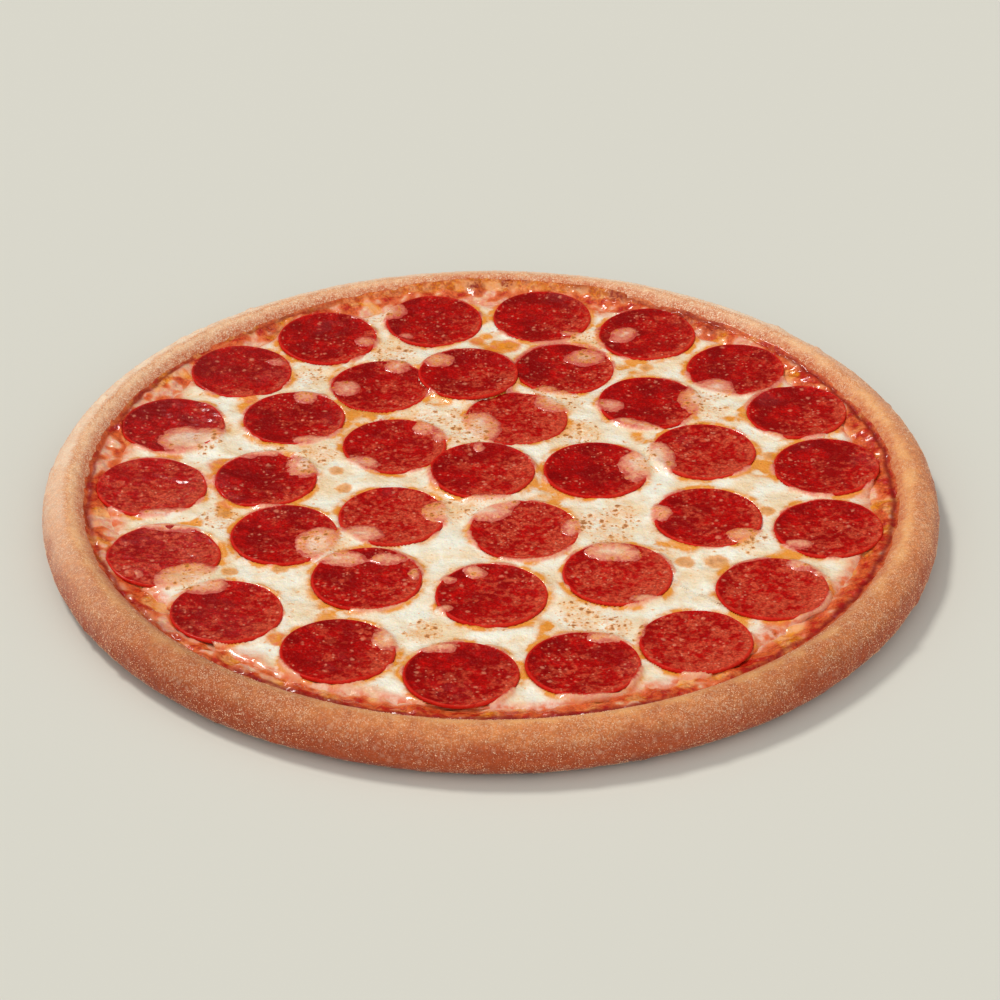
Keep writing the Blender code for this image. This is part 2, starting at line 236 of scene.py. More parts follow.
def noise(x, y, z, size, seed):
    """Gradient noise with lumps about size across, near -0.7 to 0.7.

    Each corner of a lattice has a random slope, and the eight round a point are blended by a
    fifth-power curve.
    """
    scaled = [np.asarray(a, float) / size for a in np.broadcast_arrays(x, y, z)]
    low = [np.floor(a) for a in scaled]
    part = [a - b for a, b in zip(scaled, low)]
    corner = [a.astype(np.int64).astype(np.uint32) for a in low]
    ease = [a * a * a * (a * (a * 6 - 15) + 10) for a in part]
    total = np.zeros_like(part[0])
    with np.errstate(over="ignore"):
        for step in np.ndindex(2, 2, 2):
            bits = corner_value(*(c + np.uint32(s) for c, s in zip(corner, step)), seed)
            slope = [((bits >> np.uint32(shift)) & np.uint32(1023)) / 511.5 - 1.0 for shift in (0, 10, 20)]
            rise = sum(g * (p - s) for g, p, s in zip(slope, part, step))
            share = np.ones_like(rise)
            for s, e in zip(step, ease):
                share = share * (e if s else 1 - e)
            total += share * rise
    return total


def flat_noise(x, y, size, seed):
    """The noise in a level plane."""
    return noise(x, y, 0.37 * size, size, seed)


def layered(x, y, *layers):
    """A sum of flat noises, each given as its strength, its size and its seed."""
    return sum(strength * flat_noise(x, y, size, seed) for strength, size, seed in layers)


def round_noise(angle, bumps, seed):
    """Noise round the pizza with about that many bumps, read along a circle, so that it meets itself."""
    radius = bumps / TURN
    return noise(radius * np.cos(angle), radius * np.sin(angle), 0.5, 1.0, seed)


def oval_depth(x, y, oval):
    """How far inside an oval a point is: one minus its scaled distance, over that distance's slope."""
    centre_x, centre_y, length, width, turned = oval
    c, s = math.cos(math.radians(turned)), math.sin(math.radians(turned))
    along = ((x - centre_x) * c + (y - centre_y) * s) / (length / 2)
    across = (-(x - centre_x) * s + (y - centre_y) * c) / (width / 2)
    scaled = np.hypot(along, across)
    slope = np.hypot(along / (length / 2), across / (width / 2)) / np.maximum(scaled, 1e-6)
    return (1 - scaled) / np.maximum(slope, 2 / max(length, width))


def spots(x, y, places):
    """1 in the middle of each round spot, falling to 0 at its radius and a little beyond."""
    most = np.zeros_like(x)
    for spot_x, spot_y, radius in places:
        distance = np.hypot(x - spot_x, y - spot_y)
        most = np.maximum(most, 1 - smooth(0.35 * radius, 1.25 * radius, distance))
    return most


class SliceShape:
    """One slice of pepperoni, placed by the box of its solid."""

    def __init__(self, index):
        low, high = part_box(SLICE_NODES[index])
        self.index = index
        self.number = index + 1
        self.x, self.y = ((low[i] + high[i]) / 2 / MM for i in (0, 1))
        self.radius = (high[0] - low[0] + high[1] - low[1]) / 4 / MM
        outer = index < OUTER_COUNT
        self.lean = math.tan(OUTER_LEAN) if outer else 0.0
        self.bearing = math.atan2(self.y, self.x)
        self.top = high[2] / MM - self.radius * self.lean
        self.cup = 0.65 + 0.35 * math.sin(2.3 * self.number)
        self.folds = [fold for fold in FOLDS if fold.slice == self.number]

    def edge(self, angle):
        """The slice's radius at an angle: out of round by a few tenths of a millimetre."""
        wide = 0.7 * round_noise(angle, 4, 40 + self.number)
        fine = 0.3 * round_noise(angle, 11, 80 + self.number)
        return self.radius - 0.25 + (wide + fine)

    def inside(self, x, y):
        """How far inside the slice's edge a point is."""
        dx, dy = x - self.x, y - self.y
        return self.edge(np.arctan2(dy, dx)) - np.hypot(dx, dy)

    def height(self, x, y):
        """Its upper face without the rounded edge: a leaning plane, a shallow cup, soft waves and folds."""
        dx, dy = x - self.x, y - self.y
        out = dx * math.cos(self.bearing) + dy * math.sin(self.bearing)
        share = np.hypot(dx, dy) / self.radius
        z = self.top + self.lean * out + self.cup * (share**3 - 0.5)
        swell = layered(x, y, (0.8, 13.0, 200 + self.number), (0.3, 6.0, 250 + self.number))
        z = z + swell * smooth(1.15, 0.75, share)
        for fold in self.folds:
            bearing = math.radians(fold.bearing)
            aside = (y - fold.y) * math.cos(bearing) - (x - fold.x) * math.sin(bearing)
            z = z + fold.depth * bell(aside, fold.width)
        return z


SLICES = [SliceShape(index) for index in range(len(SLICE_NODES))]


def cheese_edge(angle):
    """Where the cheese ends: wide lobes with smaller ones on them."""
    return CHEESE_R + 6.0 * round_noise(angle, 22, 3) + 3.5 * round_noise(angle, 60, 4)


def crest_height(angle):
    """The rim's height round the pizza, a little uneven."""
    return CREST_H + 0.55 * round_noise(angle, 9, 5)


def slope_height(r, angle):
    """The rim's inner slope: a parabola down from the crest, then a straight foot and the flat floor."""
    share = np.clip((CREST_R - r) / INNER_W, 0, INNER_END)
    arch = crest_height(angle) - INNER_DROP * share**2
    low_r, low_h = SLOPE_FOOT
    high_r, high_h = CREST_R - INNER_END * INNER_W, CREST_H - INNER_DROP * INNER_END**2
    foot = np.interp(r, (FLOOR_R, low_r, high_r), (FLOOR_H, low_h, high_h))
    return np.where(r > high_r, arch, foot)


def write_mesh(name, points, faces, attributes=None):
    """Puts points in millimetres and faces into a new object, with float attributes for its material."""
    mesh = bpy.data.meshes.new(name)
    corners = faces.shape[1]
    mesh.vertices.add(len(points))
    mesh.vertices.foreach_set("co", (np.asarray(points, np.float32) * MM).ravel())
    mesh.loops.add(faces.size)
    mesh.loops.foreach_set("vertex_index", faces.astype(np.int32).ravel())
    mesh.polygons.add(len(faces))
    mesh.polygons.foreach_set("loop_start", np.arange(0, faces.size, corners, dtype=np.int32))
    mesh.polygons.foreach_set("use_smooth", np.full(len(faces), True))
    mesh.update(calc_edges=True)
    mesh.validate()
    for key, values in (attributes or {}).items():
        layer = mesh.attributes.new(key, "FLOAT", "POINT")
        layer.data.foreach_set("value", np.asarray(values, np.float32).ravel())
    made = bpy.data.objects.new(name, mesh)
    bpy.context.scene.collection.objects.link(made)
    return made


def halves(a, b, c, d):
    """The two triangles of each four-sided face, given the numbers of its corners in turn."""
    return [np.stack(corners, -1).reshape(-1, 3) for corners in ([a, b, c], [a, c, d])]


def wrapped_faces(rows, columns):
    """Triangles between rings of columns points, ring after ring, facing out where rings run upwards."""
    row, column = np.meshgrid(np.arange(rows - 1), np.arange(columns), indexing="ij")
    a = row * columns + column
    b = row * columns + (column + 1) % columns
    c = b + columns
    d = a + columns
    return np.concatenate(halves(a, b, c, d))


def turned_piece(name, x, y, z, attributes=None):
    """A closed surface from rings of points, closed by a pole in the middle of its first and last ring."""
    rows, columns = x.shape
    points = np.stack([x, y, z], -1).reshape(-1, 3)
    poles = np.stack([points[:columns].mean(0), points[-columns:].mean(0)])
    first, last = len(points), len(points) + 1
    here = np.arange(columns)
    ahead = (here + 1) % columns
    top = (rows - 1) * columns
    low_fan = np.stack([np.full(columns, first), ahead, here], -1)
    high_fan = np.stack([np.full(columns, last), top + here, top + ahead], -1)
    faces = np.concatenate([wrapped_faces(rows, columns), low_fan, high_fan])
    layers = {}
    for key, values in (attributes or {}).items():
        ends = (values[0].mean(), values[-1].mean())
        layers[key] = np.concatenate([np.asarray(values).ravel(), ends])
    return write_mesh(name, np.concatenate([points, poles]), faces, layers)


def settle(piece, nodes, material):
    """Gives a finished piece its material in a slot and its place on the body, and hides the solids that it
    stands for.
    """
    piece.data.materials.append(material)
    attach(piece, "root")
    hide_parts(*nodes)


# Materials


class NodeSheet:
    """A material's or a group's node tree, with short calls to add nodes and join them."""

    def __init__(self, tree):
        self.tree = tree

    def add(self, kind, settings=None, **inputs):
        """A new node. Each input takes a value or an output, under its name with _ for a space."""
        made = self.tree.nodes.new("ShaderNode" + kind)
        for key, value in (settings or {}).items():
            setattr(made, key, value)
        for key, value in inputs.items():
            self.feed(made.inputs[key.replace("_", " ")], value)
        return made

    def feed(self, socket, value):
        """Joins another node's output to a socket, or sets the socket's own value."""
        if isinstance(value, bpy.types.NodeSocket):
            self.tree.links.new(value, socket)
        elif hasattr(value, "__len__") and len(value) == 3 and len(socket.default_value) == 4:
            socket.default_value = (*value, 1.0)
        else:
            socket.default_value = value

    def mix(self, share, a, b):
        """Colour a turned into colour b by share."""
        made = self.add("Mix", {"data_type": "RGBA", "blend_type": "MIX"})
        for socket, value in zip((made.inputs[0], made.inputs[6], made.inputs[7]), (share, a, b)):
            self.feed(socket, value)
        return made.outputs[2]

    def math(self, operation, *values):
        made = self.add("Math", {"operation": operation})
        for socket, value in zip(made.inputs, values):
            self.feed(socket, value)
        return made.outputs[0]

    def times(self, a, b):
        return self.math("MULTIPLY", a, b)

    def plus(self, a, b):
        return self.math("ADD", a, b)

    def less(self, a, b):
        return self.math("SUBTRACT", a, b)

    def ease(self, value, low, high, to_low=0.0, to_high=1.0):
        """The value from low to high, as an S-shaped curve from to_low to to_high."""
        made = self.add("MapRange", {"interpolation_type": "SMOOTHSTEP"}, Value=value)
        for key, number in (("From Min", low), ("From Max", high), ("To Min", to_low), ("To Max", to_high)):
            self.feed(made.inputs[key], number)
        return made.outputs[0]

    def place(self):
        """Where a point is on the piece, in metres."""
        return self.add("TexCoord").outputs["Object"]

    def vectors(self, operation, a, b, operand=1):
        """A vector worked out from a vector and what goes into the socket named or counted by operand."""
        made = self.add("VectorMath", {"operation": operation})
        self.feed(made.inputs[0], a)
        self.feed(made.inputs[operand], b)
        return made.outputs[0]

    def span(self, value, to_low, to_high):
        """A value from 0 to 1, eased to lie between to_low and to_high."""
        return self.ease(value, 0.0, 1.0, to_low, to_high)

    def attribute(self, name):
        return self.add("Attribute", {"attribute_name": name}).outputs["Fac"]

    def group(self, tree, **inputs):
        made = self.add("Group", {"node_tree": tree}, **inputs)
        return made.outputs[0]

    def mottle(self, place, size, contrast):
        """Cloudy patches, size millimetres across. The smaller contrast is, the sharper their edges."""
        return self.group(mottle_group(), Vector=place, Size=size, Contrast=contrast)

    def flecks(self, place, size, share, radius):
        """Flecks in a share of cells size millimetres apart. Their radius is a share of a cell too."""
        return self.group(fleck_group(), Vector=place, Size=size, Share=share, Radius=radius)

    def grain(self, place, size, coarse):
        """A grain size millimetres across, with a coarser one that is coarse times as strong."""
        return self.group(grain_group(), Vector=place, Size=size, Coarse=coarse)


def per_metre(sheet, size):
    """A texture's scale for a size in millimetres."""
    return sheet.math("DIVIDE", 1000.0, size)


def new_group(name, inputs, output):
    """An empty shader group with named inputs, each with its default, and one value as output."""
    tree = bpy.data.node_groups.new(name, "ShaderNodeTree")
    tree.interface.new_socket("Vector", in_out="INPUT", socket_type="NodeSocketVector")
    for key, value in inputs:
        socket = tree.interface.new_socket(key, in_out="INPUT", socket_type="NodeSocketFloat")
        socket.default_value = value
    tree.interface.new_socket(output, in_out="OUTPUT", socket_type="NodeSocketFloat")
    sheet = NodeSheet(tree)
    return sheet, tree.nodes.new("NodeGroupInput").outputs, tree.nodes.new("NodeGroupOutput").inputs


def mottle_group():
    """Soft cloudy patches from 0 to 1, Size millimetres across."""
    if "mottle" in bpy.data.node_groups:
        return bpy.data.node_groups["mottle"]
    sheet, given, out = new_group("mottle", (("Size", 10.0), ("Contrast", 0.2)), "Patches")
    scale = per_metre(sheet, given["Size"])
    cloud = sheet.add("TexNoise", Vector=given["Vector"], Scale=scale, Detail=3.0, Roughness=0.55)
    low = sheet.less(0.5, given["Contrast"])
    high = sheet.plus(0.5, given["Contrast"])
    sheet.feed(out[0], sheet.ease(cloud.outputs["Fac"], low, high))
    return sheet.tree


def fleck_group():
    """Small round flecks from 0 to 1: cells Size millimetres apart, of which Share hold a fleck."""
    if "flecks" in bpy.data.node_groups:
        return bpy.data.node_groups["flecks"]
    sheet, given, out = new_group("flecks", (("Size", 2.0), ("Share", 0.3), ("Radius", 0.35)), "Flecks")
    scale = per_metre(sheet, given["Size"])
    warp_scale = sheet.times(scale, 1.3)
    warp = sheet.add("TexNoise", Vector=given["Vector"], Scale=warp_scale, Detail=2.0)
    centred = sheet.vectors("SUBTRACT", warp.outputs["Color"], (0.5, 0.5, 0.5))
    amount = sheet.vectors("SCALE", centred, sheet.times(given["Size"], 0.0006), "Scale")
    moved = sheet.vectors("ADD", given["Vector"], amount)
    cells = sheet.add("TexVoronoi", Vector=moved, Scale=scale)
    drawn = sheet.add("SeparateColor", Color=cells.outputs["Color"])
    held = sheet.math("LESS_THAN", drawn.outputs[0], given["Share"])
    radius = sheet.times(given["Radius"], sheet.plus(0.5, drawn.outputs[1]))
    inner = sheet.times(radius, 0.3)
    spot = sheet.ease(cells.outputs["Distance"], inner, radius, 1.0, 0.0)
    sheet.feed(out[0], sheet.times(spot, held))
    return sheet.tree


def grain_group():
    """The height of a fine uneven grain, Size millimetres across, with a coarser one under it."""
    if "grain" in bpy.data.node_groups:
        return bpy.data.node_groups["grain"]
    sheet, given, out = new_group("grain", (("Size", 1.0), ("Coarse", 0.5)), "Height")
    fine_scale = per_metre(sheet, given["Size"])
    fine = sheet.add("TexNoise", Vector=given["Vector"], Scale=fine_scale, Detail=3.0, Roughness=0.6)
    coarse_scale = sheet.times(fine_scale, 0.28)
    coarse = sheet.add("TexNoise", Vector=given["Vector"], Scale=coarse_scale, Detail=2.0)
    lifted = sheet.times(coarse.outputs["Fac"], given["Coarse"])
    sheet.feed(out[0], sheet.plus(fine.outputs["Fac"], lifted))
    return sheet.tree


def new_material(name):
    """A material with a bare Principled shader, its node sheet and the shader."""
    material = bpy.data.materials.new(name)
    material.use_nodes = True
    return material, NodeSheet(material.node_tree), material.node_tree.nodes["Principled BSDF"]


def finish_shader(sheet, shader, colour, roughness, height, depth, **constants):
    """Feeds colour, roughness and a bump that deep in millimetres, and sets what is the same all over."""
    sheet.feed(shader.inputs["Base Color"], colour)
    sheet.feed(shader.inputs["Roughness"], roughness)
    bump = sheet.add("Bump", Strength=1.0, Distance=depth * MM, Height=height)
    sheet.feed(shader.inputs["Normal"], bump.outputs[0])
    for key, value in constants.items():
        sheet.feed(shader.inputs[key.replace("_", " ")], value)


def crust_material(colours):
    """Baked dough: golden inside the crest, tan on it and lighter there by a painted highlight,
    orange-brown down the wall and darker at the foot, partly by painted shade, dusted with flour.

    The pale attribute marks where the outside is paler, with more flour and a painted highlight on the left
    and back walls and at the outer edge; baked marks where the front-left and front-right walls are darker,
    and stained where oil and sauce soaked in.
    """
    material, sheet, shader = new_material("baked_dough")
    place = sheet.place()
    axes = sheet.add("SeparateXYZ", Vector=place).outputs
    up = axes["Z"]
    squares = [sheet.math("POWER", axes[key], 2.0) for key in ("X", "Y")]
    radius = sheet.math("SQRT", sheet.plus(*squares))
    broad = sheet.mottle(place, 18.0, 0.2)
    middle = sheet.mottle(place, 6.0, 0.18)
    small = sheet.mottle(place, 2.2, 0.16)
    off_centre = sheet.less(broad, 0.5)
    shifted = sheet.plus(up, sheet.times(off_centre, 0.004))
    # Colour by height: darker at the foot, partly browner baking and partly painted shade; lighter at the
    # crest, golden dough with a painted highlight.
    colour = sheet.mix(sheet.ease(shifted, -0.001, 0.0085), colours.crust_low, colours.crust_wall)
    colour = sheet.mix(sheet.ease(shifted, 0.0112, 0.0195), colour, colours.crust_top)
    wander = sheet.times(off_centre, 0.003)
    inner = sheet.ease(sheet.plus(radius, wander), 0.165, 0.1695, 1.0, 0.0)
    slope = sheet.mix(sheet.ease(broad, 0.3, 1.0, 0.0, 0.6), colours.crust_inner, colours.crust_top)
    # The pale attribute: paler sides, partly more flour and partly a painted highlight.
    flour_and_sheen_side = sheet.attribute("pale")
    slope = sheet.mix(sheet.times(flour_and_sheen_side, 0.5), slope, colours.crust_pale)
    colour = sheet.mix(sheet.times(inner, 0.9), colour, slope)
    stained = sheet.times(sheet.attribute("stained"), sheet.span(small, 0.5, 0.9))
    colour = sheet.mix(stained, colour, colours.crust_stain)
    # A painted highlight with flour: a whitish band along the outer edge of the crest, where the sides are
    # pale.
    outer = sheet.ease(sheet.plus(radius, sheet.times(wander, 0.5)), 0.1665, 0.1695)
    outer = sheet.times(outer, sheet.ease(shifted, 0.006, 0.0155, 0.1, 0.9))
    pale = sheet.times(sheet.times(flour_and_sheen_side, sheet.span(middle, 0.75, 1.0)), outer)
    outside = sheet.less(1.0, sheet.times(inner, 0.6))
    # Darker on the front-left and front-right walls.
    baked = sheet.times(sheet.attribute("baked"), sheet.span(broad, 0.7, 1.0))
    colour = sheet.mix(baked, colour, colours.crust_low)
    wall, low = colours.crust_wall, colours.crust_low
    for cloud, strength, darker in ((middle, 0.4, wall), (broad, 0.25, wall), (small, 0.24, low)):
        colour = sheet.mix(sheet.times(sheet.times(cloud, strength), outside), colour, darker)
    dust = sheet.add("TexNoise", Vector=place, Scale=1500.0, Detail=1.0)
    dust = sheet.ease(dust.outputs["Fac"], 0.5, 0.64)
    thick = sheet.plus(sheet.span(broad, 0.1, 0.26), sheet.times(flour_and_sheen_side, 0.4))
    thick = sheet.times(thick, sheet.ease(up, 0.006, 0.0185, 0.25, 1.1))
    colour = sheet.mix(sheet.times(dust, thick), colour, colours.flour)
    pores = sheet.add("TexNoise", Vector=place, Scale=1050.0, Detail=1.0)
    pores = sheet.ease(pores.outputs["Fac"], 0.34, 0.5, 0.15, 0.0)
    colour = sheet.mix(pores, colour, sheet.mix(inner, colours.crust_low, colours.crust_wall))
    clump = sheet.flecks(place, 2.6, 0.5, 0.42)
    colour = sheet.mix(sheet.times(clump, 0.13), colour, colours.flour)
    colour = sheet.mix(pale, colour, colours.crust_pale)
    grain = sheet.grain(place, 0.9, 1.2)
    finish_shader(sheet, shader, colour, 0.6, grain, 0.6, Subsurface_Weight=0.05,
                  Subsurface_Radius=(1.0, 0.5, 0.25), Subsurface_Scale=1.0 * MM, Specular_IOR_Level=0.25,
                  Sheen_Weight=0.12, Sheen_Roughness=0.3)
    return material


def flour_material(colours):
    """Grains of semolina: pale, a little yellow, each of a slightly different shade."""
    material, sheet, shader = new_material("flour_grains")
    shade = sheet.mottle(sheet.place(), 2.0, 0.2)
    colour = sheet.mix(sheet.span(shade, 0.1, 0.8), colours.flour, colours.crust_top)
    grain = sheet.grain(sheet.place(), 0.3, 0.2)
    finish_shader(sheet, shader, colour, 0.8, grain, 0.03, Specular_IOR_Level=0.3)
    return material


def sauce_material(colours):
    """Tomato sauce baked with oil and bits of melted cheese: red, orange and creamy patches, wet.

    The melt attribute marks the creamy patches, gold the oily ones, deep the crease along the rim,
    fade the thin edge on the dough and browned the well-baked places.
    """
    material, sheet, shader = new_material("tomato_sauce")
    place = sheet.place()
    small = sheet.mottle(place, 4.0, 0.12)
    fine = sheet.mottle(place, 1.5, 0.15)
    colour = sheet.mix(small, colours.sauce_red, colours.sauce_orange)
    melt = sheet.attribute("melt")
    cream = sheet.mix(fine, colours.cheese_warm, colours.cheese_rosy)
    # The thickest cream turns whiter, partly as a painted highlight.
    cream = sheet.mix(sheet.ease(melt, 0.8, 1.0, 0.0, 0.25), cream, colours.cheese_pale)
    cream = sheet.mix(sheet.times(small, 0.5), cream, colours.sauce_orange)
    blurred = sheet.plus(melt, sheet.math("MULTIPLY_ADD", fine, 0.4, -0.2))
    colour = sheet.mix(sheet.ease(blurred, 0.15, 0.95, 0.0, 0.9), colour, cream)
    orange_edge = sheet.times(melt, sheet.less(1.0, melt))
    colour = sheet.mix(sheet.times(orange_edge, 3.0), colour, colours.sauce_orange)
    gold = sheet.times(sheet.attribute("gold"), sheet.span(fine, 0.45, 0.85))
    colour = sheet.mix(gold, colour, sheet.mix(small, colours.oil, colours.crust_inner))
    colour = sheet.mix(sheet.times(sheet.attribute("deep"), 0.8), colour, colours.sauce_dark)
    faded = sheet.times(sheet.attribute("fade"), sheet.span(fine, 0.55, 0.95))
    colour = sheet.mix(faded, colour, colours.crust_stain)
    dots = sheet.mottle(place, 1.1, 0.12)
    dots = sheet.times(dots, sheet.ease(melt, 0.2, 0.8, 0.4, 0.05))
    colour = sheet.mix(dots, colour, colours.sauce_dark)
    burnt = sheet.times(sheet.attribute("browned"), sheet.span(fine, 0.25, 1.0))
    colour = sheet.mix(burnt, colour, colours.burnt)
    grain = sheet.grain(place, 2.0, 1.8)
    rough = sheet.span(small, 0.18, 0.34)
    finish_shader(sheet, shader, colour, rough, grain, 0.7, Subsurface_Weight=0.08,
                  Subsurface_Radius=(1.0, 0.35, 0.15), Subsurface_Scale=1.0 * MM, Coat_Weight=0.4,
                  Coat_Roughness=0.08, Specular_IOR_Level=0.1)
    return material


def cheese_material(colours):
    """Melted cheese: cream with warmer clouds, golden oil, rosy and thin over the slices, toasted specks.

    The over attribute marks cheese on a slice, 1 where it is thinnest. Oil marks golden oil, and round each
    slice a band that is partly painted shade; stain, red, toasted and browned mark what their names say.
    """
    material, sheet, shader = new_material("melted_cheese")
    place = sheet.place()
    broad = sheet.mottle(place, 12.0, 0.16)
    small = sheet.mottle(place, 3.5, 0.2)
    streaks = sheet.mottle(place, 5.0, 0.1)
    colour = sheet.mix(sheet.times(broad, 0.7), colours.cheese_pale, colours.cheese_warm)
    colour = sheet.mix(sheet.times(small, 0.25), colour, colours.cheese_pale)
    # Golden oil: pools, and the band round the slices that is partly painted shade.
    oil = sheet.attribute("oil")
    oiled = sheet.times(oil, sheet.span(streaks, 0.5, 1.0))
    colour = sheet.mix(sheet.ease(oiled, 0.0, 0.6, 0.0, 0.95), colour, colours.oil)
    stained = sheet.times(sheet.attribute("stain"), sheet.span(small, 0.5, 1.0))
    colour = sheet.mix(stained, colour, colours.sauce_orange)
    ragged = sheet.add("TexNoise", Vector=place, Scale=360.0, Detail=3.0).outputs["Fac"]
    ragged = sheet.math("MULTIPLY_ADD", ragged, 2.4, -1.2)
    bare = sheet.mix(small, colours.oil, colours.sauce_orange)
    frayed = sheet.times(ragged, 0.45)
    red = sheet.plus(sheet.attribute("red"), frayed)
    colour = sheet.mix(sheet.ease(red, 0.05, 0.9, 0.0, 0.9), colour, bare)
    over = sheet.attribute("over")
    tiny = sheet.mottle(place, 1.5, 0.14)
    uneven = sheet.plus(sheet.times(small, 0.16), sheet.times(tiny, 0.16))
    thin = sheet.times(over, sheet.less(1.12, uneven))
    along = sheet.add("SeparateXYZ", Vector=place).outputs["Y"]
    rosy = sheet.mix(sheet.times(tiny, 0.35), colours.cheese_rosy, colours.cheese_warm)
    rosy = sheet.mix(sheet.ease(along, 0.0, 0.12, 0.0, 0.32), rosy, colours.cheese_over)
    rosy = sheet.mix(sheet.ease(along, -0.02, -0.1, 0.0, 0.2), rosy, colours.cheese_warm)
    colour = sheet.mix(sheet.ease(thin, 0.0, 0.62), colour, rosy)
    colour = sheet.mix(sheet.ease(thin, 0.55, 1.0, 0.0, 0.85), colour, colours.cheese_over)
    toasted = sheet.attribute("toasted")
    haze = sheet.times(toasted, sheet.span(small, 0.05, 0.4))
    colour = sheet.mix(haze, colour, colours.oil)
    browned = sheet.plus(sheet.attribute("browned"), frayed)
    colour = sheet.mix(sheet.ease(browned, 0.15, 0.8, 0.0, 0.75), colour, colours.oil)
    colour = sheet.mix(sheet.ease(browned, 0.75, 1.3, 0.0, 0.6), colour, colours.toast)
    held = sheet.ease(sheet.plus(toasted, sheet.times(ragged, 0.6)), 0.05, 0.4)
    crumbs = sheet.add("TexNoise", Vector=place, Scale=900.0, Detail=1.0).outputs["Fac"]
    crumbs = sheet.math("MULTIPLY_ADD", crumbs, 1.8, -0.9)
    big_specks = sheet.flecks(place, 2.7, 0.5, 0.5)
    small_specks = sheet.flecks(place, 1.5, 0.42, 0.45)
    both = sheet.math("MAXIMUM", big_specks, sheet.times(small_specks, 0.8))
    both = sheet.times(sheet.plus(both, crumbs), held)
    colour = sheet.mix(sheet.ease(both, 0.02, 0.45, 0.0, 0.6), colour, colours.oil)
    colour = sheet.mix(sheet.ease(both, 0.5, 1.0, 0.0, 0.85), colour, colours.toast)
    grain = sheet.grain(place, 1.9, 1.6)
    rough = sheet.span(small, 0.25, 0.4)
    finish_shader(sheet, shader, colour, rough, grain, 0.55, Subsurface_Weight=0.2,
                  Subsurface_Radius=(1.0, 0.6, 0.35), Subsurface_Scale=2 * MM, Coat_Weight=0.6,
                  Coat_Roughness=0.09, Specular_IOR_Level=0.3)
    return material


def pepperoni_material(colours):
    """Pepperoni: deep red ground meat with darker and more orange areas, pale fat flecks and a bright rim.

    The tone attribute makes a slice more orange, by the slice's own tone and by painted light on its
    front-right side; rim marks its edge and wet where it shines.
    """
    material, sheet, shader = new_material("pepperoni_meat")
    place = sheet.place()
    broad = sheet.mottle(place, 12.0, 0.1)
    ground = sheet.mottle(place, 2.6, 0.12)
    fine = sheet.mottle(place, 1.0, 0.16)
    blotch = sheet.mottle(place, 4.5, 0.12)
    shade = sheet.math("MAXIMUM", sheet.times(broad, 0.8), sheet.times(blotch, 0.55))
    # Tone: the slice's own tone plus painted light on its front-right side; it makes the meat more orange
    # and less dark.
    tone = sheet.attribute("tone")
    shade = sheet.times(shade, sheet.ease(tone, -0.2, 0.5, 1.0, 0.25))
    colour = sheet.mix(shade, colours.meat_red, colours.meat_dark)
    glow = sheet.mottle(sheet.vectors("ADD", place, (0.31, 0.17, 0.0)), 9.0, 0.12)
    warm = sheet.plus(sheet.times(ground, 0.5), sheet.times(glow, 0.35))
    warm = sheet.ease(sheet.plus(warm, tone), 0.4, 1.1, 0.0, 0.9)
    colour = sheet.mix(warm, colour, colours.meat_orange)
    colour = sheet.mix(sheet.times(fine, 0.6), colour, colours.meat_dark)
    fat = sheet.flecks(place, 3.0, 0.3, 0.3)
    colour = sheet.mix(sheet.times(fat, 0.45), colour, colours.fat)
    gathered = sheet.ease(glow, 0.2, 1.0, 0.08, 0.6)
    small_fat = sheet.flecks(place, 1.3, 0.24, 0.42)
    colour = sheet.mix(sheet.times(small_fat, gathered), colour, colours.fat)
    colour = sheet.mix(sheet.times(sheet.attribute("rim"), 0.8), colour, colours.meat_rim)
    grain = sheet.grain(place, 1.0, 1.6)
    wet = sheet.attribute("wet")
    rough = sheet.span(wet, 0.3, 0.26)
    sheet.feed(shader.inputs["Coat Weight"], sheet.span(wet, 0.03, 0.7))
    finish_shader(sheet, shader, colour, rough, grain, 0.45, Subsurface_Weight=0.06,
                  Subsurface_Radius=(1.0, 0.25, 0.15), Subsurface_Scale=1.0 * MM, Coat_Roughness=0.17,
                  Specular_IOR_Level=0.05)
    return material


# Pieces


def near(angle, bearing, width):
    """1 at a bearing in degrees round the pizza, falling off over that width on both sides."""
    apart = (np.degrees(angle) - bearing + 180) % 360 - 180
    return bell(apart, width)


def sides(angle, *parts):
    """A sum of stretches of the pizza's edge, each given as its strength, its bearing and its width."""
    return sum(strength * near(angle, bearing, width) for strength, bearing, width in parts)


def rim_lumps(x, y, z):
    """How far the dough's skin swells: broad, middling and small lumps and a fine roughness."""
    lumps = ((0.32, 30.0, 7), (0.3, 10.0, 8), (0.2, 3.2, 9), (0.12, 1.5, 10))
    return sum(strength * noise(x, y, z, size, seed) for strength, size, seed in lumps)


def crust_points(angle, turned):
    """The crust's skin at an angle round the pizza and a turn of its cross-section.

    From -90 to 90 degrees turned runs up the outer wall, an oval, to the crest. Each point is moved
    out of the oval by broad, small and fine noise and by a few low blisters.
    """
    reach = OUTER_LIMIT_R - CREST_R - 0.55 + 0.45 * round_noise(angle, 8, 6)
    up = np.where(turned < 0, MID_H, crest_height(angle) - MID_H)
    r = CREST_R + reach * np.cos(turned)
    z = MID_H + up * np.sin(turned)
    x, y = in_plane(r, angle)
    lump = rim_lumps(x, y, z)
    blister = np.maximum(noise(x, y, z, 7.0, 12) - 0.27, 0) * 2.6
    out = (lump + blister) * smooth(-1.35, -0.9, turned)
    r = np.minimum(r + out * np.cos(turned), OUTER_LIMIT_R)
    z = np.minimum(z + out * np.sin(turned), TOP_LIMIT)
    return r, z


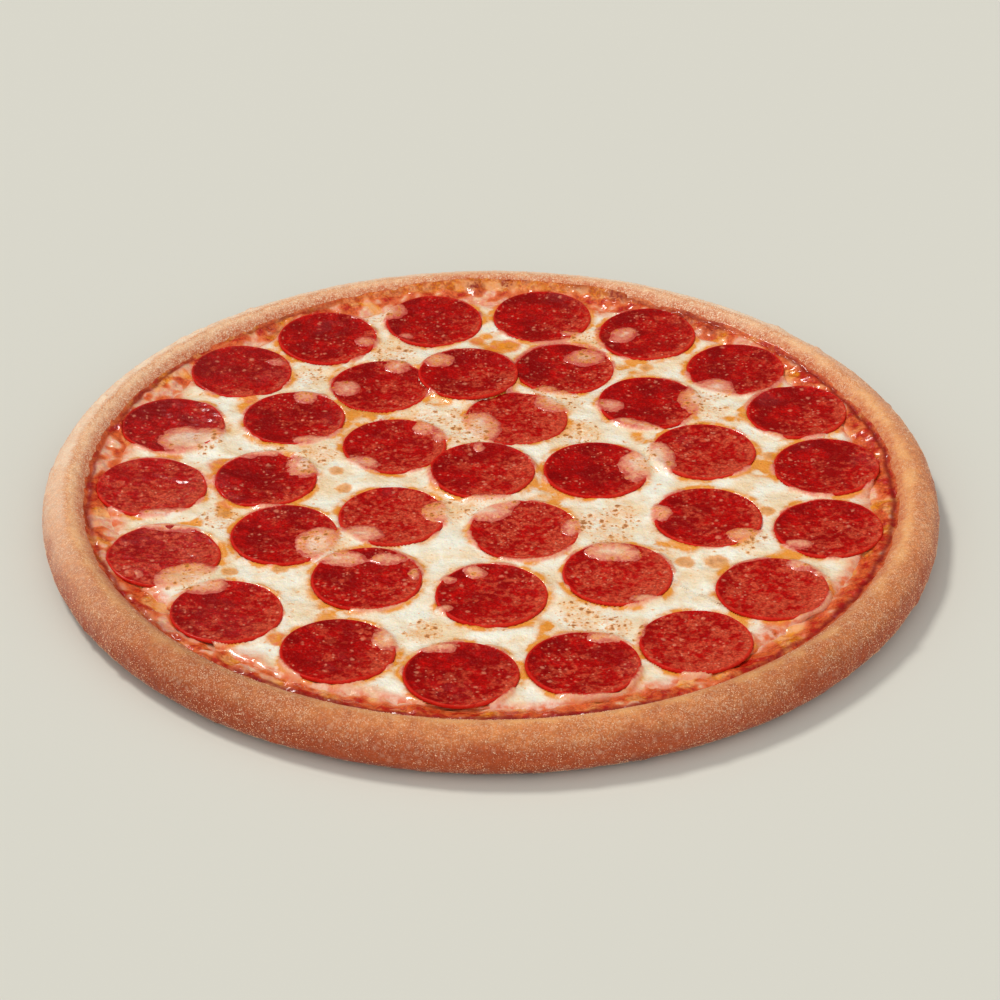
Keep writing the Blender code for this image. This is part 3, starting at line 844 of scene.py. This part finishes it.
def make_crust(material):
    """The dough as one closed skin: foot, outer wall, crest, inner slope and the floor under the sauce."""
    angle = circle(CRUST_SIDES)
    turned = np.radians(np.linspace(-90, 90, WALL_RINGS))[:, None]
    r, z = crust_points(angle, turned)
    lower = [158.5, 157.0, SLOPE_FOOT[0], FLOOR_R]
    inner_r = rings([*np.linspace(CREST_R - 0.4, 159.9, SLOPE_RINGS), *lower], CRUST_SIDES)
    inner_z = slope_height(inner_r, angle)
    x, y = in_plane(inner_r, angle)
    inner_z = np.minimum(inner_z + rim_lumps(x, y, inner_z) * smooth(157, 160, inner_r), TOP_LIMIT)
    centre_r = rings([100, 50], CRUST_SIDES)
    foot_r = rings([60, 120, 155], CRUST_SIDES)
    all_r = np.concatenate([foot_r, r, inner_r, centre_r])
    all_z = np.concatenate([np.zeros_like(foot_r), z, inner_z, np.full_like(centre_r, FLOOR_H)])
    x, y = in_plane(all_r, angle)
    worn = 0.12 * round_noise(angle, 14, 50)
    # Darker on the front-left and front-right walls.
    baked = sides(angle, (0.55, -130, 26), (0.4, -50, 22)) + worn
    # Paler on the left and at the back: more flour there, and a painted highlight.
    pale = sides(angle, (0.9, 160, 36), (1.0, 56, 26), (0.7, 108, 36)) - worn
    past = all_r - splash(angle % TURN) + 1.6 * flat_noise(x, y, 4.0, 51)
    layers = {
        "baked": np.clip(baked, 0, 1) * np.ones_like(all_r),
        "pale": np.clip(pale, 0, 1) * np.ones_like(all_r),
        "stained": smooth(4.2, 0.0, past),
    }
    piece = turned_piece("crust_baked", x, y, all_z, layers)
    settle(piece, ["crust"], material)


GRAIN_CORNERS = np.array([(1, 0, 0), (0, 1, 0), (-1, 0, 0), (0, -1, 0), (0, 0, 1), (0, 0, -1)], float)
UPPER_FACES = [(0, 1, 4), (1, 2, 4), (2, 3, 4), (3, 0, 4)]
LOWER_FACES = [(1, 0, 5), (2, 1, 5), (3, 2, 5), (0, 3, 5)]
GRAIN_FACES = np.array(UPPER_FACES + LOWER_FACES)


def make_flour(material, count):
    """Semolina on the rim: small eight-sided grains of random size, stretch and turn, half sunk in."""
    rng = np.random.default_rng(RNG_SEED)
    angle = rng.uniform(0, TURN, count)
    turned = np.radians(rng.uniform(-70, 112, count))
    over_crest = turned > np.pi / 2
    r, z = crust_points(angle, np.minimum(turned, np.pi / 2))
    inner_r = CREST_R - (turned - np.pi / 2) * SLOPE_REACH
    r = np.where(over_crest, inner_r, r)
    z = np.where(over_crest, slope_height(r, angle), z)
    thick = round_noise(angle, 40, 14) + noise(*in_plane(r, angle), z, 9.0, 15)
    kept = thick + rng.uniform(-0.5, 0.5, count) > -0.25
    angle, r, z = angle[kept], r[kept], z[kept]
    size = rng.uniform(*GRAIN_SIZES, len(r)) * rng.choice([1.0, 1.0, 1.0, 1.4], len(r))
    z = np.minimum(z, TOP_LIMIT + 0.2 - size)
    r = np.minimum(r, OUTER_LIMIT_R + 0.3 - size)
    stretch = rng.uniform(*GRAIN_STRETCH, (len(r), 1, 3))
    spin = rng.uniform(0, TURN, (len(r), 1))
    shape = GRAIN_CORNERS[None] * stretch * size[:, None, None]
    x = shape[..., 0] * np.cos(spin) - shape[..., 2] * np.sin(spin)
    height = shape[..., 0] * np.sin(spin) + shape[..., 2] * np.cos(spin)
    centre = np.stack([*in_plane(r, angle), z], -1)[:, None, :]
    points = centre + np.stack([x, shape[..., 1], height], -1)
    first = np.arange(len(r))[:, None, None] * len(GRAIN_CORNERS)
    faces = (first + GRAIN_FACES[None]).reshape(-1, 3)
    piece = write_mesh("flour_grains", points.reshape(-1, 3), faces)
    piece.data.materials.append(material)
    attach(piece, "root")


def splash(angle):
    """How far sauce and cheese ran up the rim: farthest at the back, and unevenly all round."""
    back = bell(angle - np.radians(90), 0.40)
    return 161.2 + 3.4 * back + 1.1 * round_noise(angle, 30, 16) + 0.9 * round_noise(angle, 90, 17)


def ring_surface(r, angle):
    """The sauce ring's upper face and the marks on it.

    It is the higher of a lumpy level, which rises towards the rim, and the rim's slope plus a film
    that thins out at the splash line. Single lumps sit on it as round mounds.
    """
    limit = splash(angle % TURN)
    x, y = in_plane(r, angle)
    lumps = layered(x, y, (1.4, 6.5, 18), (1.0, 3.4, 19), (0.2, 1.9, 20))
    mounds = np.zeros_like(x)
    for lump_x, lump_y, radius, high in LUMPS:
        distance = np.hypot(x - lump_x, y - lump_y) / radius
        mounds = np.maximum(mounds, high * np.sqrt(np.clip(1 - distance**2, 0, 1)))
    level = SAUCE_LEVEL + 3.4 * smooth(146, 162, r) + 0.9 * lumps * smooth(142, 148, r) + 0.8 * mounds
    level = level - 0.7 * bell(limit - r - 1.6, 1.2)
    film = 0.7 * smooth(0.1, 3.0, limit - r) - 0.8 * smooth(0.5, -0.6, limit - r)
    skin = slope_height(r, angle) + film + (0.35 * lumps + mounds) * smooth(0.0, 2.5, limit - r)
    z = np.maximum(level, skin)
    # More cream on the left and front-left, less at the front and right: melted cheese, and on the left a
    # painted highlight.
    share = sides(angle, (0.14, -140, 30), (0.12, 165, 45), (-0.32, -85, 35), (-0.22, 0, 40))
    creamy = smooth(-0.14, 0.26, layered(x, y, (0.8, 11.0, 21), (0.7, 4.5, 33)) + share)
    creamy = np.maximum(creamy, smooth(154, 149, r + 5.0 * flat_noise(x, y, 7.0, 34)))
    back = bell(angle % TURN - np.radians(90), 0.5)
    crease = limit - r - 2.2 - 1.5 * flat_noise(x, y, 6.0, 54)
    deep = bell(crease, 1.3) * smooth(-0.45, 0.0, round_noise(angle, 26, 35))
    marks = {
        "melt": np.clip(creamy * smooth(0.5, 3.0, limit - r), 0, 1),
        "gold": np.clip(back * smooth(157, 161, r) + smooth(0.12, 0.32, flat_noise(x, y, 8.0, 36)), 0, 1),
        "deep": deep * (1 - 0.9 * back),
        "fade": smooth(1.4, 0.2, limit - r + 1.5 * flat_noise(x, y, 3.5, 52)),
        "browned": spots(x, y, BURNT),
    }
    return z, limit, marks


def make_sauce(material):
    """The sauce: flat under the cheese, lumpy in the ring inside the rim, a film up the slope."""
    angle = circle(SAUCE_SIDES)
    limit = splash(angle % TURN)
    share = np.linspace(0, 1, SAUCE_RINGS)[:, None] ** 0.8
    r = RING_R + (limit + 1.0 - RING_R) * share
    x, y = in_plane(r, angle)
    z, limit, marks = ring_surface(r, angle)
    inside, support = slices_under(x, y)
    under = smooth(-0.3, 0.8, inside)
    z = tucked(z, under, support, 0.4)
    flat_r = rings([120, 60], SAUCE_SIDES)
    foot_r, foot_z = (rings(values, SAUCE_SIDES) for values in zip(*SAUCE_FOOT))
    lip_r = limit + 0.9
    lip_z = slope_height(lip_r, angle) - 1.3
    all_r = np.concatenate([foot_r, lip_r, r[::-1], flat_r])
    all_z = np.concatenate([foot_z, lip_z, z[::-1], np.full_like(flat_r, 10.0)])
    below = rings([0] * (len(foot_r) + 1), SAUCE_SIDES)
    none = np.zeros_like(flat_r)
    layers = {key: np.concatenate([below, values[::-1], none]) for key, values in marks.items()}
    piece = turned_piece("sauce_baked", *in_plane(all_r, angle), all_z, layers)
    settle(piece, ["sauce"], material)


def round_grid(count):
    """A square grid turned into a disc: each square ring of it becomes a circle of the same share."""
    side = np.linspace(-1, 1, count)
    u, v = np.meshgrid(side, side)
    wide = np.abs(u) > np.abs(v)
    r = np.where(wide, u, v)
    divisor = np.where(r == 0, 1, r)
    angle = np.where(wide, np.pi / 4 * v / divisor, np.pi / 2 - np.pi / 4 * u / divisor)
    return in_plane(r, angle)


def slices_under(x, y):
    """How far inside the nearest slice's edge a point is, and the height of the upper face there."""
    inside = np.full_like(x, -1e3)
    support = np.zeros_like(x)
    for shape in SLICES:
        depth = shape.inside(x, y)
        height = shape.height(x, y)
        both = (depth > 0) & (inside > 0)
        higher = np.where(both, np.maximum(support, height), height)
        support = np.where((depth > inside) | both, higher, support)
        inside = np.maximum(inside, depth)
    return inside, support


def tucked(z, under, support, gap):
    """A height lowered, where under is 1, to pass a gap below the slice whose upper face is at support."""
    return z * (1 - under) + np.minimum(z, support - SLICE_T - gap) * under


def tongue_depth(x, y):
    """How far inside the tongues a point is: ovals joined by a soft maximum, with a wavy edge."""
    total = np.zeros_like(x)
    for oval in TONGUES:
        total += np.exp(np.clip(oval_depth(x, y, oval), -30, 30) / 1.1)
    depth = 1.1 * np.log(np.maximum(total, 1e-12))
    return depth + 1.5 * flat_noise(x, y, 6.0, 22) + 0.9 * flat_noise(x, y, 2.8, 23)


def cheese_surface(x, y):
    """The cheese's upper face and the marks on it.

    Outside the slices it is a level with soft lumps that rises a little towards a slice's edge and
    falls off, rounded, at the cheese's own edge. Under a slice it passes below it. In a tongue it
    climbs over the slice, with a rounded edge.
    """
    r, angle = np.hypot(x, y), np.arctan2(y, x)
    from_edge = cheese_edge(angle) - r
    soft = layered(x, y, (1.1, 16.0, 24), (0.6, 6.5, 25), (0.22, 2.8, 26))
    level = CHEESE_LEVEL + 0.7 * smooth(105, 146, r) + soft
    level = CHEESE_EDGE + (level - CHEESE_EDGE) * np.sqrt(smooth(-0.6, 4.5, from_edge))
    inside, support = slices_under(x, y)
    brim = 0.8 * smooth(-0.1, 0.3, flat_noise(x, y, 14.0, 53)) - 0.2
    level = level + brim * bell(np.minimum(inside, 0), 1.3)
    reach = np.clip(support - 0.8 - level, 0, 1.8)
    level = level + reach * bell(np.minimum(inside, 0), 1.7)
    under = smooth(-0.35, 0.5, inside)
    lowered = tucked(level, under, support, 0.5)
    lap = 2.6 * smooth(0.02, 0.3, flat_noise(x, y, 12.0, 39)) - 0.9 - np.abs(inside)
    tongue = tongue_depth(x, y)
    depth = np.maximum(tongue, lap)
    climbs = smooth(-1.2, 1.1, depth)
    body = smooth(0.0, 4.0, depth)
    on_slice = smooth(-2.5, 0.8, inside)
    carried = level * (1 - on_slice) + support * on_slice
    lumps = layered(x, y, (0.4, 5.5, 27), (0.2, 2.4, 28))
    thickness = (0.15 + 0.25 * body + lumps * body) * (0.3 + 0.7 * on_slice)
    z = lowered + (carried + thickness - lowered) * climbs
    blotch = 0.5 * flat_noise(x, y, 7.0, 37)
    thicker = 0.34 * smooth(0.6, 3.8, depth + 1.2 * blotch)
    thickest = 0.36 * smooth(3.6, 8.0, depth + 3.0 * blotch)
    over = on_slice * smooth(-0.9, -0.1, depth) * (1 - thicker - thickest)
    # A band round each slice: oil, and painted shade where the slice meets the cheese.
    oil_and_shade_beside = bell(np.maximum(-inside, 0), 2.7) * smooth(-0.5, 0.4, flat_noise(x, y, 9.0, 29))
    pools = spots(x, y, OILY) * smooth(-0.5, 0.45, flat_noise(x, y, 5.0, 30))
    oil = np.clip(1.1 * oil_and_shade_beside + 1.1 * pools, 0, 1) * (1 - smooth(-0.5, 1.0, tongue))
    on_tongue = smooth(1.2, 3.2, depth) * smooth(-0.15, 0.25, flat_noise(x, y, 6.0, 56))
    edge_stain = smooth(9.0, 1.0, from_edge + 6.0 * flat_noise(x, y, 8.0, 31))
    marks = {
        "over": over,
        "oil": oil,
        "stain": np.clip(edge_stain, 0, 1) * (1 - 0.6 * over),
        "toasted": np.maximum(spots(x, y, TOASTED), 0.5 * on_tongue),
        "browned": spots(x, y, BROWNED),
        "red": spots(x, y, RED_PATCHES) * (1 - climbs),
    }
    return z, marks


def make_cheese(material, count):
    """The cheese as one closed skin: its upper face on a round grid, a short wall and a flat underside."""
    u, v = round_grid(count)
    angle = np.arctan2(v, u)
    share = np.hypot(u, v)
    r = share * (CHEESE_R + (cheese_edge(angle) - CHEESE_R) * share**4)
    x, y = in_plane(r, angle)
    z, marks = cheese_surface(x, y)
    z = np.maximum(z, CHEESE_LOWEST)
    index = np.arange(count * count).reshape(count, count)
    a, b, c, d = index[:-1, :-1], index[:-1, 1:], index[1:, 1:], index[1:, :-1]
    upper = halves(a, b, c, d)
    around = np.concatenate([index[0, :-1], index[:-1, -1], index[-1, :0:-1], index[:0:-1, 0]])
    wall_x, wall_y = x.ravel()[around], y.ravel()[around]
    low = np.stack([0.985 * wall_x, 0.985 * wall_y, np.full(len(around), CHEESE_FOOT)], -1)
    middle = np.array([[0.0, 0.0, CHEESE_FOOT]])
    top = np.stack([x, y, z], -1).reshape(-1, 3)
    lower = len(top) + np.arange(len(around))
    far, lower_far = np.roll(around, -1), np.roll(lower, -1)
    pole = len(top) + len(around)
    walls = [np.stack([lower, lower_far, far], -1), np.stack([lower, far, around], -1)]
    floor = [np.stack([np.full(len(around), pole), lower_far, lower], -1)]
    points = np.concatenate([top, low, middle])
    layers = {}
    for key, values in marks.items():
        layers[key] = np.concatenate([values.ravel(), values.ravel()[around], [0.0]])
    piece = write_mesh("cheese_melted", points, np.concatenate(upper + walls + floor), layers)
    settle(piece, ["cheese"], material)


def make_slice(shape, material, rows, columns):
    """One slice: rings out over its upper face, round its edge and back under it, with fine ridges."""
    angle = circle(columns)
    edge = shape.edge(angle)
    share = np.linspace(0.03, 1, rows)[:, None] ** 0.8
    face_r = (edge - SLICE_BEVEL) * share
    side = np.radians(np.array([30.0, 60.0, 90.0, 120.0, 150.0]))[:, None]
    side_r = edge - SLICE_BEVEL + SLICE_BEVEL * np.sin(side)
    half = SLICE_T / 2
    side_drop = half - half * np.cos(side)
    back_r = (edge - SLICE_BEVEL) * np.array([[1.0], [0.6], [0.2]])
    r = np.concatenate([face_r, side_r, back_r])
    side_drop = side_drop * np.ones_like(edge)
    drop = np.concatenate([np.zeros_like(face_r), side_drop, np.full_like(back_r, SLICE_T)])
    x, y = shape.x + r * np.cos(angle), shape.y + r * np.sin(angle)
    ridge = 0.8 if shape.number in RIDGED else 0.2
    bumps = ridge * noise(x * 0.45, y, 0.0, 2.6, 60 + shape.number) + 0.25 * flat_noise(x, y, 3.4, 61)
    bumps = bumps + 0.16 * flat_noise(x, y, 1.7, 62)
    on_face = np.concatenate([np.ones_like(face_r), np.zeros_like(side_r), np.zeros_like(back_r)])
    bead = 0.12 * bell(edge - r - 0.7, 0.5)
    z = shape.height(x, y) - drop + (bumps * smooth(1.0, 0.93, r / edge) + bead) * on_face
    uneven = smooth(-0.35, 0.2, round_noise(angle, 9, 120 + shape.number))
    near_edge = smooth(1.2, 0.7, edge - face_r) * (0.35 + 0.65 * uneven)
    rim = np.concatenate([near_edge, np.ones_like(side_r), np.zeros_like(back_r)])
    # Painted light: each slice lighter and more orange towards its front right, with a lighter painted band
    # near that edge.
    painted_light_side = (0.8 * (x - shape.x) - 0.6 * (y - shape.y)) / edge
    leaning = 0.2 * (shape.number in PALE_SLICES) - 0.12 * (shape.number in DEEP_SLICES)
    tone = 0.04 + leaning + 0.05 * math.sin(5.1 * shape.number) + 0.2 * painted_light_side
    tone = tone + 0.3 * smooth(0.2, 0.8, painted_light_side) * smooth(0.72, 0.95, r / edge)
    wet = spots(x, y, WET) * smooth(-0.3, 0.15, flat_noise(x, y, 5.0, 55))
    wet = np.clip(wet + 0.5 * smooth(-60, -130, x), 0, 1) * on_face
    flipped = slice(None, None, -1)
    layers = {"rim": rim[flipped], "tone": tone[flipped], "wet": wet[flipped]}
    name = f"slice_{shape.number:02d}"
    piece = turned_piece(name, x[flipped], y[flipped], z[flipped], layers)
    settle(piece, [SLICE_NODES[shape.index]], material)


def pointed_at(place, target):
    """A turn that points a light or a camera from a place at a target, with its top up."""
    return (Vector(target) - Vector(place)).to_track_quat("-Z", "Y").to_euler()


def add_sun(name, azimuth, elevation, strength, size, colour):
    """A distant light. Its azimuth is counted from the back of the pizza towards its left."""
    data = bpy.data.lights.new(name, "SUN")
    data.energy = strength
    data.angle = size
    data.color = colour
    made = bpy.data.objects.new(name, data)
    level = math.cos(elevation)
    place = (-math.sin(azimuth) * level, math.cos(azimuth) * level, math.sin(elevation))
    made.rotation_euler = pointed_at(place, (0, 0, 0))
    bpy.context.scene.collection.objects.link(made)


def add_camera(studio):
    """The photo's view: from the front, height_angle over the ground, aimed at the pizza's middle."""
    data = bpy.data.cameras.new("camera")
    data.lens = studio.lens
    data.sensor_width = SENSOR
    data.shift_x = studio.shift_right
    data.shift_y = studio.shift_up
    made = bpy.data.objects.new("camera", data)
    target = Vector((0, 0, AIM_H * MM))
    up = studio.height_angle
    made.location = target + studio.distance * Vector((0, -math.cos(up), math.sin(up)))
    made.rotation_euler = pointed_at(made.location, target)
    bpy.context.scene.collection.objects.link(made)
    bpy.context.scene.camera = made


def make_world():
    """A studio that is bright in front of the pizza, dim behind it and half-bright overhead."""
    world = bpy.data.worlds.new("studio")
    world.use_nodes = True
    sheet = NodeSheet(world.node_tree)
    axes = sheet.add("SeparateXYZ", Vector=sheet.add("TexCoord").outputs["Generated"])
    share = sheet.math("MULTIPLY_ADD", axes.outputs["Y"], -0.5, 0.5)
    sky = world.node_tree.nodes["Background"]
    sheet.feed(sky.inputs["Color"], sheet.mix(share, ROOM_BACK, ROOM_FRONT))
    sky.inputs["Strength"].default_value = 1.0
    return world


def make_floor(material):
    """A plain pale floor, square and flat, at the table's height."""
    corners = ((-1, -1, 0), (1, -1, 0), (1, 1, 0), (-1, 1, 0))
    points = FLOOR_HALF * np.array(corners, float)
    floor = write_mesh("floor", points, np.array([[0, 1, 2, 3]]))
    floor.data.materials.append(material)


def floor_material(colours):
    """Matt paint with the faintest of clouds."""
    material, sheet, shader = new_material("floor_paint")
    cloud = sheet.mottle(sheet.place(), FLOOR_CLOUDS, 0.4)
    sheet.feed(shader.inputs["Base Color"], sheet.mix(cloud, colours.floor, colours.floor_far))
    shader.inputs["Specular IOR Level"].default_value = 0.0
    shader.inputs["Roughness"].default_value = 1.0
    return material


def length(name, words, default):
    return bpy.props.FloatProperty(name=name, description=words, default=default, unit="LENGTH",
                                   precision=4)


def number(name, words, default, **more):
    return bpy.props.FloatProperty(name=name, description=words, default=default, **more)


def whole(name, words, default, least):
    return bpy.props.IntProperty(name=name, description=words, default=default, min=least)


def colour(name, words, red, green, blue):
    """A colour property, given as a screen's red, green and blue from 0 to 255."""
    linear = [((part / 255 + 0.055) / 1.055) ** 2.4 for part in (red, green, blue)]
    return bpy.props.FloatVectorProperty(name=name, description=words, default=linear, subtype="COLOR",
                                         size=3, min=0.0, max=1.0)


class PizzaColours(bpy.types.PropertyGroup):
    # Golden dough on the crest, made lighter by a painted highlight.
    crust_top: colour("Crust, crest", "Dough on top of the rim", 240, 153, 84)
    crust_wall: colour("Crust, wall", "Dough halfway down the outer wall", 184, 78, 32)
    # Darker dough near the table: well baked, and painted shade at the foot.
    crust_low: colour("Crust, foot", "Well-baked dough near the table", 122, 44, 18)
    crust_stain: colour("Crust, stained", "Dough soaked with oil and sauce", 214, 106, 56)
    # Whitish dough: flour, and the painted highlight on the pale sides and the outer edge.
    crust_pale: colour("Crust, floury", "Floury dough outside the crest", 255, 230, 198)
    crust_inner: colour("Crust, inside", "Dough on the rim's inner slope", 252, 183, 112)
    flour: colour("Flour", "Semolina and flour on the rim", 255, 230, 194)
    sauce_red: colour("Sauce", "Tomato sauce", 196, 34, 16)
    sauce_orange: colour("Sauce with oil", "Tomato sauce mixed with oil", 230, 104, 46)
    sauce_dark: colour("Sauce, deep", "Sauce in the gaps", 128, 8, 8)
    cheese_pale: colour("Cheese", "Melted cheese", 252, 245, 224)
    cheese_warm: colour("Cheese, warm", "Warmer clouds in the cheese", 242, 198, 136)
    cheese_over: colour("Cheese over meat", "Thin cheese over a slice", 196, 50, 38)
    cheese_rosy: colour("Cheese, rosy", "Cheese stained by the meat or the sauce", 236, 140, 116)
    oil: colour("Oil", "Golden oil", 238, 146, 16)
    burnt: colour("Burnt", "Brown places in the ring", 150, 42, 12)
    toast: colour("Toasted", "Toasted specks and bubbles", 164, 94, 30)
    meat_red: colour("Pepperoni", "The meat", 202, 12, 6)
    meat_dark: colour("Pepperoni, dark", "Darker meat", 122, 0, 2)
    meat_orange: colour("Pepperoni, oily", "Oily, more orange meat", 224, 88, 58)
    meat_rim: colour("Pepperoni, rim", "The slices' bright rim", 216, 34, 20)
    fat: colour("Fat", "Flecks of fat", 244, 156, 122)
    floor: colour("Floor", "The plain floor", 216, 214, 202)
    floor_far: colour("Floor, second", "The floor's faint clouds", 215, 213, 201)


class PizzaSizes(bpy.types.PropertyGroup):
    grains: whole("Grains", "Grains of semolina thrown on the rim", 60000, 0)
    cheese_lines: whole("Cheese lines", "Grid lines across the cheese", 296, 20)
    slice_rings: whole("Slice rings", "Rings of each slice's upper face", 38, 4)
    slice_sides: whole("Slice sides", "Sides of each slice", 128, 8)


class PizzaStudio(bpy.types.PropertyGroup):
    distance: length("Distance", "From the camera to the pizza's middle", 1.150)
    height_angle: number("Camera angle", "How high the camera looks down from", math.radians(32.2),
                         subtype="ANGLE")
    lens: number("Lens", "Focal length in millimetres", 104.0)
    shift_right: number("Shift right", "Share of the image", 0.009)
    shift_up: number("Shift up", "Share of the image", -0.0054)


class PIZZA_OT_stage(bpy.types.Operator):
    """Makes the floor, the soft studio light and the camera"""

    bl_idname = "pizza.stage"
    bl_label = "Stage"

    def execute(self, context):
        scene = context.scene
        make_floor(floor_material(scene.pizza_colours))
        add_camera(scene.pizza_studio)
        add_sun("key", SUN_AZIMUTH, SUN_HEIGHT, SUN_STRENGTH, SUN_SIZE, SUN_COLOUR)
        scene.world = make_world()
        scene.view_settings.view_transform = "Standard"
        scene.view_settings.look = "None"
        return {"FINISHED"}


class PIZZA_OT_crust(bpy.types.Operator):
    """Makes the baked dough"""

    bl_idname = "pizza.crust"
    bl_label = "Crust"

    def execute(self, context):
        make_crust(crust_material(context.scene.pizza_colours))
        return {"FINISHED"}


class PIZZA_OT_flour(bpy.types.Operator):
    """Scatters semolina on the rim"""

    bl_idname = "pizza.flour"
    bl_label = "Flour"

    def execute(self, context):
        make_flour(flour_material(context.scene.pizza_colours), context.scene.pizza_sizes.grains)
        return {"FINISHED"}


class PIZZA_OT_sauce(bpy.types.Operator):
    """Spreads the tomato sauce"""

    bl_idname = "pizza.sauce"
    bl_label = "Sauce"

    def execute(self, context):
        make_sauce(sauce_material(context.scene.pizza_colours))
        return {"FINISHED"}


class PIZZA_OT_cheese(bpy.types.Operator):
    """Melts the cheese round and over the slices"""

    bl_idname = "pizza.cheese"
    bl_label = "Cheese"

    def execute(self, context):
        make_cheese(cheese_material(context.scene.pizza_colours), context.scene.pizza_sizes.cheese_lines)
        return {"FINISHED"}


class PIZZA_OT_pepperoni(bpy.types.Operator):
    """Lays the slices of pepperoni"""

    bl_idname = "pizza.pepperoni"
    bl_label = "Pepperoni"

    def execute(self, context):
        material = pepperoni_material(context.scene.pizza_colours)
        sizes = context.scene.pizza_sizes
        for shape in SLICES:
            make_slice(shape, material, sizes.slice_rings, sizes.slice_sides)
        return {"FINISHED"}


class PIZZA_PT_panel(bpy.types.Panel):
    """Lists the pizza's pieces and the studio"""

    bl_idname = "PIZZA_PT_panel"
    bl_label = "Pizza"
    bl_space_type = "VIEW_3D"
    bl_region_type = "UI"
    bl_category = "Pizza"

    def draw(self, context):
        for step in STEPS:
            self.layout.operator(step)
        for group in (context.scene.pizza_sizes, context.scene.pizza_colours, context.scene.pizza_studio):
            box = self.layout.box()
            for key in group.__annotations__:
                box.prop(group, key)


STEPS = ("pizza.stage", "pizza.crust", "pizza.flour", "pizza.sauce", "pizza.cheese", "pizza.pepperoni")
CLASSES = (PizzaColours, PizzaSizes, PizzaStudio, PIZZA_OT_stage, PIZZA_OT_crust, PIZZA_OT_flour,
           PIZZA_OT_sauce, PIZZA_OT_cheese, PIZZA_OT_pepperoni, PIZZA_PT_panel)


def register():
    for kind in CLASSES:
        bpy.utils.register_class(kind)
    bpy.types.Scene.pizza_colours = bpy.props.PointerProperty(type=PizzaColours)
    bpy.types.Scene.pizza_sizes = bpy.props.PointerProperty(type=PizzaSizes)
    bpy.types.Scene.pizza_studio = bpy.props.PointerProperty(type=PizzaStudio)


def unregister():
    del bpy.types.Scene.pizza_studio
    del bpy.types.Scene.pizza_sizes
    del bpy.types.Scene.pizza_colours
    for kind in reversed(CLASSES):
        bpy.utils.unregister_class(kind)


def main():
    register()
    for step in STEPS:
        family, name = step.split(".")
        getattr(getattr(bpy.ops, family), name)()


if __name__ == "__main__":
    main()
